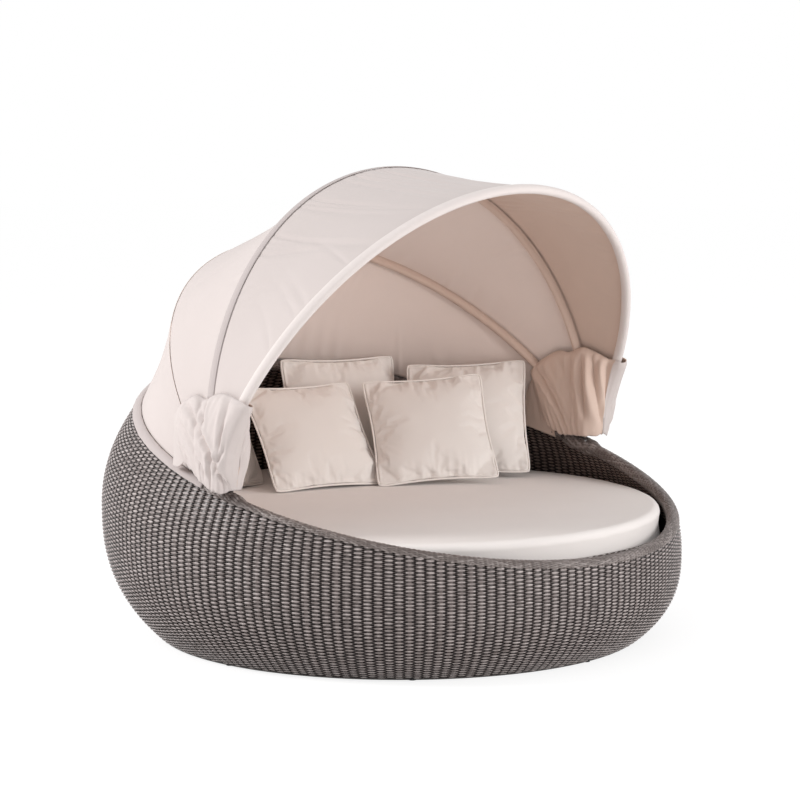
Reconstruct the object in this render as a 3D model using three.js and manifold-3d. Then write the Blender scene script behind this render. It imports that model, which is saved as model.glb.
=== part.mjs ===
// Round woven daybed with a folding canopy of three hoops. Millimetres, +Z up, open front at -Y.
// The origin is on the floor, under the centre foot.
import * as THREE from 'three';
import { mergeVertices } from 'three/addons/utils/BufferGeometryUtils.js';
import Module from 'manifold-3d';

const wasm = await Module();
wasm.setup();

// Basket outline: values at the sides, and what the back adds and the front takes off
const baseRadius = 765;
const bellyRadius = 922;
const bellyLeanRadius = 34;
const bellyHeight = 340;
const bellyLeanHeight = 105;
const rimRadius = 852;
const rimLeanRadius = -34;
const rimHeight = 563;
const rimLeanHeight = 228;
const rimBowHeight = 8;
const footCurveShare = 2.6;
const shoulderCurveShare = 2.1;

// Wall layers, from the outside in
const weaveThickness = 8;
const ribDiameter = 18;
const ribClearance = 0.8;
const liningClearance = 3.4;
const ribFootRise = 19;
const liningThickness = 7;
const braidRise = 20;
const braidOverhang = 3;
const weaveFloorGap = 6;
const fitGap = 0.4;

// Frame under the deck
const glideHeight = 12;
const glideRadius = 12;
const baseRingSize = 25;
const seatRingSize = 25;
const slatThickness = 12;
const slatWidth = 70;
const slatPitch = 132;
const beamWidth = 30;
const beamHeight = 40;
const beamSpacing = 400;
const weldDepth = 1;
const centreFootRadius = 50;
const centreFootThickness = 8;
const centrePostRadius = 20;

// Mattress
const deckHeight = 293;
const mattressFrontClearance = 29.5;
const mattressRearClearance = 20.8;
const mattressThickness = 118;
const mattressCrown = 9;
const innerCrownShare = 0.75;
const mattressEdgeRadius = 30;
const mattressSideDraw = 5;

// Pillows
const pillowWidth = 400;
const pillowThickness = 105;
const pillowSideDraw = 15;
const pillowEdge = 8;

// Canopy: pivot axis, and each hoop's half width, leg length, rise above the legs and plane angle
const pivotSetBack = -76;
const pivotRise = 48.21;
const hoopDiameter = 20;
const hoopSideStep = 23;
const rearHoopOffset = 21.51;
const hoopTubeStart = 24;
const frontHoop = { steps: 2, leg: 83, rise: 843, degrees: 63.3 };
const midHoop = { steps: 1, leg: 30, rise: 848, degrees: 96.6 };
const rearHoop = { steps: 0, leg: 52, rise: 829, degrees: 134.5 };

// Canopy cloth
const clothThickness = 1.6;
const clothGap = 0.6;
const hoopClearance = 2.3;
const frontSag = 12;
const midSag = 16;
const rearSag = 14;
const rearClothRide = 2.6;
const panelFoldDepth = 4;
const panelFolds = 9;
const sleeveWidth = 34;
const pocketWidth = 36;
const skirtRadius = 250;
const skirtFoldDepth = 13;
const skirtBays = 2;
const skirtScallop = 12;
const skirtFoot = 38;
const skirtFootFront = -165;
const skirtFootRear = 40;
const skirtFolds = 5;
const skirtColumns = 24;
const skirtRows = 4;
const skirtFootClearance = 5;
const skirtLeadDegrees = 5;
const hemHeight = 32;
const tapeHeight = 20;
const tapeThickness = 1.2;
const tapeGap = 0.6;

// Pivot hardware
const boltRadius = 5;
const boltHole = 5.8;
const boltHeadRadius = 11;
const boltHeadThickness = 6;
const spacerRadius = 11;
const lugThickness = 4;
const lugRadius = 12;
const lugLength = 62;
const lugHalfWidth = 8;
const bracketThickness = 4;
const bracketPlateThickness = 5;
const bracketFootWidth = 34;
const screwInset = 9;
const screwRadius = 3;
const screwHole = 3.6;
const screwDepth = 34;
const screwHeadRadius = 6;
const screwHeadHeight = 4;
const bracketEyeRadius = 18;
const nutRadius = 9;
const nutHole = 6;
const nutFlangeRadius = 11;
const nutThickness = 8;
const boltProud = 2;

// Counts and facet numbers
const wallSteps = 48;
const weaveRows = 7;
const liningRows = 3;
const ribCount = 8;
const hoopSteps = 28;
const hoopSides = 8;
const panelColumns = 24;
const panelRows = 4;
const braidPoints = 7;
const tubeSides = 6;
const footSides = 12;
const glideSides = 10;
const pivotSides = 8;
const nutSides = 6;
const bracketEyeSegments = 6;
const pillowCells = 8;
const pillowSwellShare = 4;
const halfPi = Math.PI / 2;
const fullTurn = Math.PI * 2;

// Derived sizes
const wallDepth = weaveThickness + ribClearance + ribDiameter + liningClearance + liningThickness;
const ribDepth = weaveThickness + ribClearance + ribDiameter / 2;
const liningDepth = wallDepth - liningThickness;
const slatBottom = deckHeight - slatThickness;
const seatRingTop = slatBottom - fitGap;
const hoopRadius = hoopDiameter / 2;
const clothOffset = hoopRadius + clothThickness + fitGap;
const pocketDepth = hoopRadius + hoopClearance + clothThickness;
const skirtSeat = clothThickness + 2 * fitGap;

// The mattress fills the inside of the wall and its braid, less a clearance in front and behind
const mattressFront = insideReach(-halfPi) - mattressFrontClearance;
const mattressRear = insideReach(halfPi) - mattressRearClearance;
const mattressRadius = (mattressFront + mattressRear) / 2;
const mattressSetBack = (mattressRear - mattressFront) / 2;

// The pivots stand on the rim
const pivotAngle = Math.asin(pivotSetBack / rimRadius);
const pivotHeight = rimTop(pivotAngle) + pivotRise;
const rearHoopHalfWidth = crest(pivotAngle, braidRise).x + rearHoopOffset;

const group = new THREE.Group();

function material(color, roughness, metalness = 0) {
  return new THREE.MeshStandardMaterial({ color, roughness, metalness });
}

const wicker = material(0x6d605b, 0.6);
const wickerDark = material(0x463a35, 0.7);
const cushionCloth = material(0xddcdc4, 0.9);
const canopyCloth = material(0xe8ddd7, 0.85);
const steel = material(0x9a9a9c, 0.35, 1);
const frameMetal = material(0x4a4644, 0.5, 0.6);
const deckWood = material(0x73573d, 0.85);
const rubber = material(0x2a2a2a, 0.8);
const tapeCloth = material(0x8a7f78, 0.95);

function add(name, geometry, finish, parent = group) {
  const mesh = new THREE.Mesh(geometry, finish);
  mesh.name = name;
  parent.add(mesh);
  return mesh;
}

// Closed bodies from rings of points: a ring solid closes on itself, an open one gets end caps
function ringIndices(rows, columns, closed) {
  const indices = [];
  const spans = closed ? rows : rows - 1;
  for (let i = 0; i < spans; i += 1) {
    const next = (i + 1) % rows;
    for (let j = 0; j < columns; j += 1) {
      const k = (j + 1) % columns;
      indices.push(i * columns + j, next * columns + j, next * columns + k);
      indices.push(i * columns + j, next * columns + k, i * columns + k);
    }
  }
  return indices;
}

function solidFrom(points, indices) {
  const geometry = new THREE.BufferGeometry();
  geometry.setAttribute('position', new THREE.Float32BufferAttribute(points.flatMap((p) => p.toArray()), 3));
  geometry.setIndex(indices);
  const turned = signedVolume(points, indices) < 0;
  if (turned) {
    geometry.setIndex(indices.toReversed());
  }
  return geometry;
}

function signedVolume(points, indices) {
  let sum = 0;
  for (let i = 0; i < indices.length; i += 3) {
    const [a, b, c] = [points[indices[i]], points[indices[i + 1]], points[indices[i + 2]]];
    sum += a.dot(b.clone().cross(c));
  }
  return sum;
}

function loft(rings, closed, outline) {
  const columns = rings[0].length;
  const indices = ringIndices(rings.length, columns, closed);
  if (!closed) {
    const faces = THREE.ShapeUtils.triangulateShape(outline, []);
    const last = (rings.length - 1) * columns;
    for (const [a, b, c] of faces) {
      indices.push(a, b, c);
      indices.push(last + a, last + c, last + b);
    }
  }
  return orient(solidFrom(rings.flat(), indices));
}

// End caps may be wound either way, so a closed loft is rewound by its own edges
function orient(geometry) {
  const index = Array.from(geometry.index.array);
  const count = index.length / 3;
  const edges = new Map();
  for (let f = 0; f < count; f += 1) {
    for (let e = 0; e < 3; e += 1) {
      const a = index[3 * f + e];
      const b = index[3 * f + ((e + 1) % 3)];
      const key = a < b ? `${a}_${b}` : `${b}_${a}`;
      if (!edges.has(key)) {
        edges.set(key, []);
      }
      edges.get(key).push([f, a < b]);
    }
  }
  const flip = new Array(count).fill(undefined);
  flip[0] = false;
  const queue = [0];
  while (queue.length) {
    const f = queue.pop();
    for (let e = 0; e < 3; e += 1) {
      const a = index[3 * f + e];
      const b = index[3 * f + ((e + 1) % 3)];
      const key = a < b ? `${a}_${b}` : `${b}_${a}`;
      const own = edges.get(key).find((entry) => entry[0] === f);
      for (const [other, forward] of edges.get(key)) {
        if (other !== f && flip[other] === undefined) {
          flip[other] = forward === own[1] ? !flip[f] : flip[f];
          queue.push(other);
        }
      }
    }
  }
  for (let f = 0; f < count; f += 1) {
    if (flip[f]) {
      [index[3 * f + 1], index[3 * f + 2]] = [index[3 * f + 2], index[3 * f + 1]];
    }
  }
  const positions = geometry.attributes.position;
  const pointAt = (_, i) => new THREE.Vector3().fromBufferAttribute(positions, i);
  return solidFrom(Array.from({ length: positions.count }, pointAt), index);
}

// A point of radius and height at an angle round the basket
function roundBasket(p, angle) {
  return new THREE.Vector3(p.x * Math.cos(angle), p.x * Math.sin(angle), p.y);
}

// A ring round the basket: section(angle) gives its outline as points of radius and height
function ringSolid(section, from = 0, to = fullTurn, steps = wallSteps) {
  const closed = to - from >= fullTurn;
  const rings = [];
  const count = closed ? steps : steps + 1;
  for (let i = 0; i < count; i += 1) {
    const angle = from + ((to - from) * i) / steps;
    rings.push(section(angle).map((p) => roundBasket(p, angle)));
  }
  return loft(rings, closed, section(from));
}

// A thin sheet: place(a, b) gives a point for shares a and b, and the thickness lies on both sides
function sheetSolid(place, across, down, thickness) {
  const tiny = 1 / (across * down * across);
  const front = [];
  const back = [];
  for (let i = 0; i <= across; i += 1) {
    for (let j = 0; j <= down; j += 1) {
      const [a, b] = [i / across, j / down];
      const p = place(a, b);
      const along = place(Math.min(a + tiny, 1), b).sub(place(Math.max(a - tiny, 0), b));
      const over = place(a, Math.min(b + tiny, 1)).sub(place(a, Math.max(b - tiny, 0)));
      const normal = along.cross(over).normalize().multiplyScalar(thickness / 2);
      front.push(p.clone().add(normal));
      back.push(p.clone().sub(normal));
    }
  }
  const size = front.length;
  const indices = [];
  const at = (i, j) => i * (down + 1) + j;
  const quad = (a, b, c, d) => indices.push(a, b, c, a, c, d);
  for (let i = 0; i < across; i += 1) {
    for (let j = 0; j < down; j += 1) {
      quad(at(i, j), at(i + 1, j), at(i + 1, j + 1), at(i, j + 1));
      quad(size + at(i, j), size + at(i, j + 1), size + at(i + 1, j + 1), size + at(i + 1, j));
    }
  }
  for (let i = 0; i < across; i += 1) {
    quad(at(i, 0), size + at(i, 0), size + at(i + 1, 0), at(i + 1, 0));
    quad(at(i, down), at(i + 1, down), size + at(i + 1, down), size + at(i, down));
  }
  for (let j = 0; j < down; j += 1) {
    quad(at(0, j), at(0, j + 1), size + at(0, j + 1), size + at(0, j));
    quad(at(across, j), size + at(across, j), size + at(across, j + 1), at(across, j + 1));
  }
  return orient(solidFrom([...front, ...back], indices));
}

function toManifold(geometry) {
  const bare = geometry.clone();
  bare.deleteAttribute('normal');
  bare.deleteAttribute('uv');
  const merged = mergeVertices(bare);
  const vertProperties = new Float32Array(merged.attributes.position.array);
  const triVerts = new Uint32Array(merged.index.array);
  return new wasm.Manifold(new wasm.Mesh({ numProp: 3, vertProperties, triVerts }));
}

function fromManifold(solid) {
  const mesh = solid.getMesh();
  const geometry = new THREE.BufferGeometry();
  geometry.setAttribute('position', new THREE.BufferAttribute(mesh.vertProperties, 3));
  geometry.setIndex(new THREE.BufferAttribute(mesh.triVerts, 1));
  return geometry;
}

function join(...geometries) {
  return fromManifold(geometries.map(toManifold).reduce((sum, next) => sum.add(next)));
}

function boxBetween(low, high) {
  const size = high.clone().sub(low);
  const centre = low.clone().add(high).multiplyScalar(1 / 2);
  return new THREE.BoxGeometry(size.x, size.y, size.z).translate(centre.x, centre.y, centre.z);
}

// The basket's outline
function rimTop(angle) {
  return rimHeight + rimLeanHeight * Math.sin(angle) - rimBowHeight * Math.cos(2 * angle);
}

// The wall ends lower by what the braid adds where it leans inwards with the wall
function wallTop(angle) {
  const { up, inward } = wallFrame(angle, rimTop(angle));
  return rimTop(angle) - braidRise * up.y - (wallDepth / 2) * inward.y;
}

function outerRadius(angle, z) {
  const tilt = Math.sin(angle);
  const belly = bellyRadius + bellyLeanRadius * tilt;
  const bellyAt = bellyHeight + bellyLeanHeight * tilt;
  const rim = rimRadius + rimLeanRadius * tilt;
  if (z < bellyAt) {
    return baseRadius + (belly - baseRadius) * (1 - (1 - z / bellyAt) ** footCurveShare);
  }
  return belly - (belly - rim) * ((z - bellyAt) / (rimTop(angle) - bellyAt)) ** shoulderCurveShare;
}

// A point of the wall at height z and a depth square to its outside, with the wall's directions there
function wallFrame(angle, z) {
  const step = weaveThickness / 4;
  const slope = (outerRadius(angle, z + step) - outerRadius(angle, z - step)) / (2 * step);
  const up = new THREE.Vector2(slope, 1).normalize();
  const inward = new THREE.Vector2(-up.y, up.x);
  return { point: new THREE.Vector2(outerRadius(angle, z), z), up, inward };
}

function wallPoint(angle, z, depth, rise = 0) {
  const { point, up, inward } = wallFrame(angle, z);
  return point.clone().addScaledVector(inward, depth).addScaledVector(up, rise);
}

function rowHeights(angle, low, rows) {
  return Array.from({ length: rows + 1 }, (_, i) => low + ((wallTop(angle) - low) * i) / rows);
}

function wallBand(from, depth, thickness, rows) {
  return (angle) => {
    const heights = rowHeights(angle, from(angle), rows);
    const outside = heights.map((z) => wallPoint(angle, z, depth));
    const inside = heights.map((z) => wallPoint(angle, z, depth + thickness));
    return [...outside, ...inside.reverse()];
  };
}

// The narrowest inside radius beside the mattress, over the wall's lining and the braid if it is that low
function insideReach(angle) {
  const top = Math.min(deckHeight + mattressThickness, wallTop(angle));
  const lining = Math.min(wallPoint(angle, deckHeight, wallDepth).x, wallPoint(angle, top, wallDepth).x);
  const braid = wallPoint(angle, wallTop(angle), wallDepth + braidOverhang).x;
  return top < wallTop(angle) ? lining : Math.min(lining, braid);
}

function liningFoot(angle) {
  const { inward } = wallFrame(angle, seatRingTop);
  return seatRingTop + fitGap + Math.max(0, -inward.y * wallDepth);
}

function circleOutline(centre, radius, sides, turnShare = 1 / 2) {
  return Array.from({ length: sides }, (_, i) => {
    const turn = (fullTurn * (i + turnShare)) / sides;
    return new THREE.Vector2(centre.x + radius * Math.cos(turn), centre.y + radius * Math.sin(turn));
  });
}

function squareOutline(low, high) {
  return [low, new THREE.Vector2(high.x, low.y), high, new THREE.Vector2(low.x, high.y)];
}

function cut(geometry, tools) {
  const solid = tools.map(toManifold).reduce((left, tool) => left.subtract(tool), toManifold(geometry));
  return fromManifold(solid);
}

function makeBasket() {
  const holes = [-1, 1].flatMap((side) => bracketScrews().map((place) => screwHoleTool(place, side)));
  add('outer_weave', ringSolid(wallBand(() => weaveFloorGap, 0, weaveThickness, weaveRows)), wicker);
  add('inner_weave', ringSolid(wallBand(liningFoot, liningDepth, liningThickness, liningRows)), wickerDark);
  add('rim_tube', cut(ringSolid(rimTubeSection), holes), frameMetal);
  add('rim_braid', cut(ringSolid(braidSection), holes), wicker);
}

function rimTubeSection(angle) {
  const heights = rowHeights(angle, weaveFloorGap, weaveRows);
  const top = wallPoint(angle, heights[weaveRows], ribDepth);
  const below = wallPoint(angle, heights[weaveRows - 1], ribDepth);
  const drop = (ribDiameter / 2 + ribClearance) / top.distanceTo(below);
  return circleOutline(top.lerp(below, drop), ribDiameter / 2, tubeSides);
}

// The braid's half round outline over the wall's layers, grown by an offset for what sits on it
function braidArc(angle, offset) {
  const half = wallDepth / 2 + braidOverhang + offset;
  const rise = braidRise + offset;
  return Array.from({ length: braidPoints }, (_, i) => {
    const turn = (Math.PI * i) / (braidPoints - 1);
    const depth = wallDepth / 2 - half * Math.cos(turn);
    return wallPoint(angle, wallTop(angle), depth, fitGap + rise * Math.sin(turn));
  });
}

function braidSection(angle) {
  return braidArc(angle, 0);
}

function baseRingLow(angle) {
  const low = glideHeight + fitGap;
  const weave = wallPoint(angle, weaveFloorGap, weaveThickness).x;
  const ribs = wallPoint(angle, low + baseRingSize, ribDepth + ribDiameter / 2).x;
  return new THREE.Vector2(Math.min(weave, ribs) - ribClearance - baseRingSize, low);
}

function ribAngles() {
  return Array.from({ length: ribCount }, (_, i) => (fullTurn * i) / ribCount);
}

function makeFrame() {
  const size = new THREE.Vector2(baseRingSize, baseRingSize);
  const baseSection = (angle) => squareOutline(baseRingLow(angle), baseRingLow(angle).add(size));
  add('base_ring', ringSolid(baseSection), frameMetal);
  ribAngles().forEach((angle, i) => {
    add(`foot_glide_${i + 1}`, glide(angle), rubber);
    add(`frame_rib_${i + 1}`, rib(angle), frameMetal);
  });
  add('seat_ring', ringSolid(seatRingSection), frameMetal);
  add('deck_grid', join(...[-1, 0, 1].map(beam), ...slats()), deckWood);
  add('centre_foot', centreFoot(), frameMetal);
}

function glide(angle) {
  const low = baseRingLow(angle);
  const radius = low.x + baseRingSize / 2;
  const disc = new THREE.CylinderGeometry(glideRadius, glideRadius, glideHeight, glideSides);
  return disc.rotateX(halfPi).translate(radius * Math.cos(angle), radius * Math.sin(angle), glideHeight / 2);
}

// A rib bends with the rows of the outer wall, from the base ring to the rim tube
function rib(angle) {
  const heights = rowHeights(angle, weaveFloorGap, weaveRows);
  const row = (i, radius) => wallPoint(angle, heights[i], ribDepth + radius);
  const between = (i, share, radius) => row(i, radius).lerp(row(i + 1, radius), share);
  const rowLength = (i) => row(i, 0).distanceTo(row(i + 1, 0));
  const footShare = ribFootRise / rowLength(0);
  const headShare = 1 - (ribDiameter + 2 * ribClearance + fitGap) / rowLength(weaveRows - 1);
  const outline = circleOutline(new THREE.Vector2(0, 0), ribDiameter / 2, tubeSides, 0);
  const stations = [(radius) => between(0, footShare, radius)];
  for (let i = 1; i < weaveRows; i += 1) {
    stations.push((radius) => row(i, radius));
  }
  stations.push((radius) => between(weaveRows - 1, headShare, radius));
  const rings = stations.map((station) => outline.map((p) => {
    const at = station(p.x);
    return new THREE.Vector3(
      at.x * Math.cos(angle) - p.y * Math.sin(angle),
      at.x * Math.sin(angle) + p.y * Math.cos(angle),
      at.y,
    );
  }));
  return loft(rings, false, outline);
}

function seatRingOuter(angle) {
  const depth = ribDepth + ribDiameter / 2 + liningClearance;
  const top = wallPoint(angle, seatRingTop, depth).x;
  const bottom = wallPoint(angle, seatRingTop - seatRingSize - ribDiameter / 2, depth).x;
  return Math.min(top, bottom);
}

function seatRingSection(angle) {
  const outer = seatRingOuter(angle);
  const low = new THREE.Vector2(outer - seatRingSize, seatRingTop - seatRingSize);
  return squareOutline(low, new THREE.Vector2(outer, seatRingTop));
}

// Half of the width that the seat ring leaves at a distance from its middle
function seatRingReach(across, inset) {
  const corner = Math.PI / wallSteps;
  const reach = (seatRingOuter(-halfPi) - inset) * Math.cos(corner);
  return Math.sqrt(reach ** 2 - across ** 2);
}

function beam(place) {
  const x = place * beamSpacing;
  const reach = seatRingReach(Math.abs(x) + beamWidth / 2, seatRingSize + fitGap);
  const low = new THREE.Vector3(x - beamWidth / 2, -reach, seatRingTop - beamHeight);
  return boxBetween(low, new THREE.Vector3(x + beamWidth / 2, reach, slatBottom + weldDepth));
}

function slats() {
  const solids = [];
  const furthest = seatRingOuter(-halfPi) - seatRingSize - slatWidth / 2;
  const count = Math.floor(furthest / slatPitch);
  for (let i = -count; i <= count; i += 1) {
    const y = i * slatPitch;
    const reach = seatRingReach(Math.abs(y) + slatWidth / 2, fitGap + liningThickness);
    const low = new THREE.Vector3(-reach, y - slatWidth / 2, slatBottom);
    solids.push(boxBetween(low, new THREE.Vector3(reach, y + slatWidth / 2, deckHeight)));
  }
  return solids;
}

function centreFoot() {
  const top = seatRingTop - beamHeight - fitGap;
  const outline = [
    new THREE.Vector2(0, 0),
    new THREE.Vector2(centreFootRadius, 0),
    new THREE.Vector2(centreFootRadius, centreFootThickness),
    new THREE.Vector2(centrePostRadius, centreFootThickness + centrePostRadius),
    new THREE.Vector2(centrePostRadius, top),
    new THREE.Vector2(0, top),
  ];
  return new THREE.LatheGeometry(outline, footSides).rotateX(halfPi);
}

// Mattress: flat below, a drawn-in boxing between two rounded edges, and a crowned top
function makeMattress() {
  const low = deckHeight + fitGap;
  const outline = [new THREE.Vector2(0, low)];
  const shoulder = mattressRadius - mattressEdgeRadius;
  const top = low + mattressThickness - mattressCrown;
  const arcSteps = 2;
  const edge = (centre, from) => {
    for (let i = 0; i <= arcSteps; i += 1) {
      const turn = from + (halfPi * i) / arcSteps;
      const x = shoulder + mattressEdgeRadius * Math.cos(turn);
      outline.push(new THREE.Vector2(x, centre + mattressEdgeRadius * Math.sin(turn)));
    }
  };
  edge(low + mattressEdgeRadius, -halfPi);
  outline.push(new THREE.Vector2(mattressRadius - mattressSideDraw, (low + top) / 2));
  edge(top - mattressEdgeRadius, 0);
  outline.push(new THREE.Vector2(shoulder / 2, top + mattressCrown * innerCrownShare));
  outline.push(new THREE.Vector2(0, top + mattressCrown));
  const geometry = new THREE.LatheGeometry(outline, wallSteps).rotateX(halfPi);
  add('mattress', geometry, cushionCloth).position.y = mattressSetBack;
}

// Pillow: two crowned faces, sides drawn in between pointed corners
function pillowGeometry() {
  const cells = pillowCells;
  const half = pillowWidth / 2;
  const points = [];
  const indices = [];
  const place = (i, j, side) => {
    const s = (2 * i) / cells - 1;
    const t = (2 * j) / cells - 1;
    const x = s * (half - pillowSideDraw * (1 - t * t));
    const y = t * (half - pillowSideDraw * (1 - s * s));
    const swell = Math.sqrt(Math.max(0, (1 - s ** pillowSwellShare) * (1 - t ** pillowSwellShare)));
    return new THREE.Vector3(x, y, side * (pillowEdge / 2 + (pillowThickness / 2 - pillowEdge / 2) * swell));
  };
  for (const side of [1, -1]) {
    for (let i = 0; i <= cells; i += 1) {
      for (let j = 0; j <= cells; j += 1) {
        points.push(place(i, j, side));
      }
    }
  }
  const row = cells + 1;
  const size = row * row;
  const quad = (a, b, c, d) => indices.push(a, b, c, a, c, d);
  for (let i = 0; i < cells; i += 1) {
    for (let j = 0; j < cells; j += 1) {
      const a = i * row + j;
      quad(a, a + row, a + row + 1, a + 1);
      quad(size + a, size + a + 1, size + a + row + 1, size + a + row);
    }
  }
  for (let i = 0; i < cells; i += 1) {
    const [low, high] = [i * row, i * row + cells];
    quad(low, size + low, size + low + row, low + row);
    quad(high, high + row, size + high + row, size + high);
    const [first, last] = [i, cells * row + i];
    quad(first, first + 1, size + first + 1, size + first);
    quad(last, size + last, size + last + 1, last + 1);
  }
  return orient(solidFrom(points, indices));
}

// Each pillow: where its bottom edge's middle stands, as shares of the mattress's radius from its centre,
// and in degrees the way it faces, its lean and its turn in its own plane
const pillowShares = {
  pillow_front_left: { acrossShare: 0.0235, backShare: 0.3369, facing: -108, lean: 40, roll: 0 },
  pillow_front_right: { acrossShare: 0.365, backShare: 0.108, facing: -131, lean: 38, roll: 4 },
  pillow_back_right: { acrossShare: 0.6162, backShare: 0.1608, facing: -141, lean: 27, roll: 3 },
  pillow_back_left: { acrossShare: 0.3638, backShare: 0.5692, facing: -118, lean: 18, roll: 0 },
  pillow_left: { acrossShare: -0.2817, backShare: 0.5927, facing: -80, lean: 20, roll: 0 },
};

function mattressTop(x, y) {
  const run = Math.hypot(x, y - mattressSetBack);
  const shoulder = mattressRadius - mattressEdgeRadius;
  const top = deckHeight + fitGap + mattressThickness - mattressCrown;
  const [near, far] = [mattressCrown * innerCrownShare, mattressCrown];
  if (run < shoulder / 2) {
    return top + near + (far - near) * (1 - run / (shoulder / 2));
  }
  return top + near * Math.max(0, 1 - (run - shoulder / 2) / (shoulder / 2));
}

function makePillows() {
  const shape = pillowGeometry();
  for (const [name, at] of Object.entries(pillowShares)) {
    const pillow = add(name, shape.clone(), cushionCloth);
    const turn = THREE.MathUtils.degToRad(at.facing);
    const lean = THREE.MathUtils.degToRad(at.lean);
    const away = new THREE.Vector3(-Math.cos(turn), -Math.sin(turn), 0);
    const up = new THREE.Vector3(0, 0, Math.cos(lean)).addScaledVector(away, Math.sin(lean));
    const out = away.clone().multiplyScalar(-Math.cos(lean)).setZ(Math.sin(lean));
    const side = up.clone().cross(out);
    pillow.quaternion.setFromRotationMatrix(new THREE.Matrix4().makeBasis(side, up, out));
    pillow.rotateZ(THREE.MathUtils.degToRad(at.roll));
    const [across, back] = [at.acrossShare * mattressRadius, at.backShare * mattressRadius];
    pillow.position.set(across, mattressSetBack + back, 0);
    pillow.position.addScaledVector(up, pillowWidth / 2);
    seatOnMattress(pillow);
  }
}

// Lifts a pillow until its lowest corner just clears the mattress
function seatOnMattress(pillow) {
  pillow.updateMatrix();
  const positions = pillow.geometry.attributes.position;
  let lift = -Infinity;
  for (let i = 0; i < positions.count; i += 1) {
    const p = new THREE.Vector3().fromBufferAttribute(positions, i).applyMatrix4(pillow.matrix);
    lift = Math.max(lift, mattressTop(p.x, p.y) + fitGap - p.z);
  }
  pillow.position.z += lift;
}

// Canopy hoops: each lies in a plane through the pivot axis, in a group turned to the plane's angle
function hoopHalfWidth(hoop) {
  return rearHoopHalfWidth + hoop.steps * hoopSideStep;
}

// The hoop's line, grown outwards by an offset, from one eye over the top to the other
class HoopLine extends THREE.Curve {
  constructor(hoop, start, offset = 0) {
    super();
    this.halfWidth = hoopHalfWidth(hoop) + offset;
    this.leg = hoop.leg;
    this.rise = hoop.rise + offset;
    this.start = Math.max(start, 0);
    this.arc = (Math.PI * (this.halfWidth + this.rise)) / 2;
    this.straight = Math.max(this.leg - this.start, 0);
    this.skip = Math.asin(Math.max(0, Math.min(1, (this.start - this.leg) / this.rise)));
  }

  getPoint(share, target = new THREE.Vector3()) {
    const total = this.arc + 2 * this.straight;
    const run = share * total;
    if (run < this.straight) {
      return target.set(this.halfWidth, this.start + run, 0);
    }
    if (run > this.straight + this.arc) {
      return target.set(-this.halfWidth, this.start + total - run, 0);
    }
    const turn = this.skip + ((Math.PI - 2 * this.skip) * (run - this.straight)) / this.arc;
    return target.set(this.halfWidth * Math.cos(turn), this.leg + this.rise * Math.sin(turn), 0);
  }
}

function hoopGroup(hoop) {
  const holder = new THREE.Group();
  holder.position.set(0, pivotSetBack, pivotHeight);
  holder.rotation.x = Math.PI - THREE.MathUtils.degToRad(hoop.degrees);
  group.add(holder);
  return holder;
}

function lug(hoop, side) {
  const shape = new THREE.Shape();
  shape.moveTo(-lugHalfWidth, lugLength);
  shape.lineTo(-lugHalfWidth, 0);
  shape.absarc(0, 0, lugRadius, Math.PI * (7 / 6), Math.PI * (11 / 6), false);
  shape.lineTo(lugHalfWidth, 0);
  shape.lineTo(lugHalfWidth, lugLength);
  const hole = new THREE.Path();
  hole.absarc(0, 0, boltHole, 0, fullTurn, true);
  shape.holes.push(hole);
  const plateSize = { depth: lugThickness, bevelEnabled: false, curveSegments: pivotSides / 2 };
  const plate = new THREE.ExtrudeGeometry(shape, plateSize);
  plate.translate(0, 0, -lugThickness / 2).rotateY(halfPi);
  const inner = -hoopSideStep + lugThickness / 2 + fitGap;
  const bushOutline = [
    new THREE.Vector2(boltHole, inner),
    new THREE.Vector2(spacerRadius, inner),
    new THREE.Vector2(spacerRadius, 0),
    new THREE.Vector2(boltHole, 0),
    new THREE.Vector2(boltHole, inner),
  ];
  const bush = new THREE.LatheGeometry(bushOutline, pivotSides);
  bush.rotateZ(side > 0 ? -halfPi : halfPi);
  return join(plate, bush).translate(side * hoopHalfWidth(hoop), 0, 0);
}

function hoopSolid(hoop) {
  const section = new THREE.Shape(circleOutline(new THREE.Vector2(0, 0), hoopRadius, hoopSides));
  const path = new HoopLine(hoop, hoopTubeStart);
  const tube = new THREE.ExtrudeGeometry(section, { steps: hoopSteps, extrudePath: path });
  return join(tube, lug(hoop, 1), lug(hoop, -1));
}

// A band that goes along a hoop: outline(u, v) points are outwards and square to the hoop's plane
function hoopBand(hoop, start, outline) {
  const line = new HoopLine(hoop, start);
  const points = line.getSpacedPoints(hoopSteps);
  const rings = points.map((p, i) => {
    const before = points[Math.max(i - 1, 0)];
    const after = points[Math.min(i + 1, hoopSteps)];
    const along = after.clone().sub(before).normalize();
    const outward = new THREE.Vector3(along.y, -along.x, 0);
    return outline.map((q) => p.clone().addScaledVector(outward, q.x).setZ(q.y));
  });
  return loft(rings, false, outline);
}

// An open channel of cloth round the hoop: half round inside, with two flanges
function channelOutline(width) {
  const inner = hoopRadius + hoopClearance;
  const outer = inner + clothThickness;
  const arcSteps = 4;
  const arc = (radius) => Array.from({ length: arcSteps + 1 }, (_, i) => {
    const turn = halfPi + (Math.PI * i) / arcSteps;
    return new THREE.Vector2(radius * Math.cos(turn), radius * Math.sin(turn));
  });
  const flange = width / 2;
  return [
    new THREE.Vector2(0, flange),
    ...arc(inner),
    new THREE.Vector2(0, -flange),
    new THREE.Vector2(-clothThickness, -flange),
    ...arc(outer).reverse().filter((p) => Math.abs(p.x) >= clothThickness),
    new THREE.Vector2(-clothThickness, flange),
  ];
}

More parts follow.
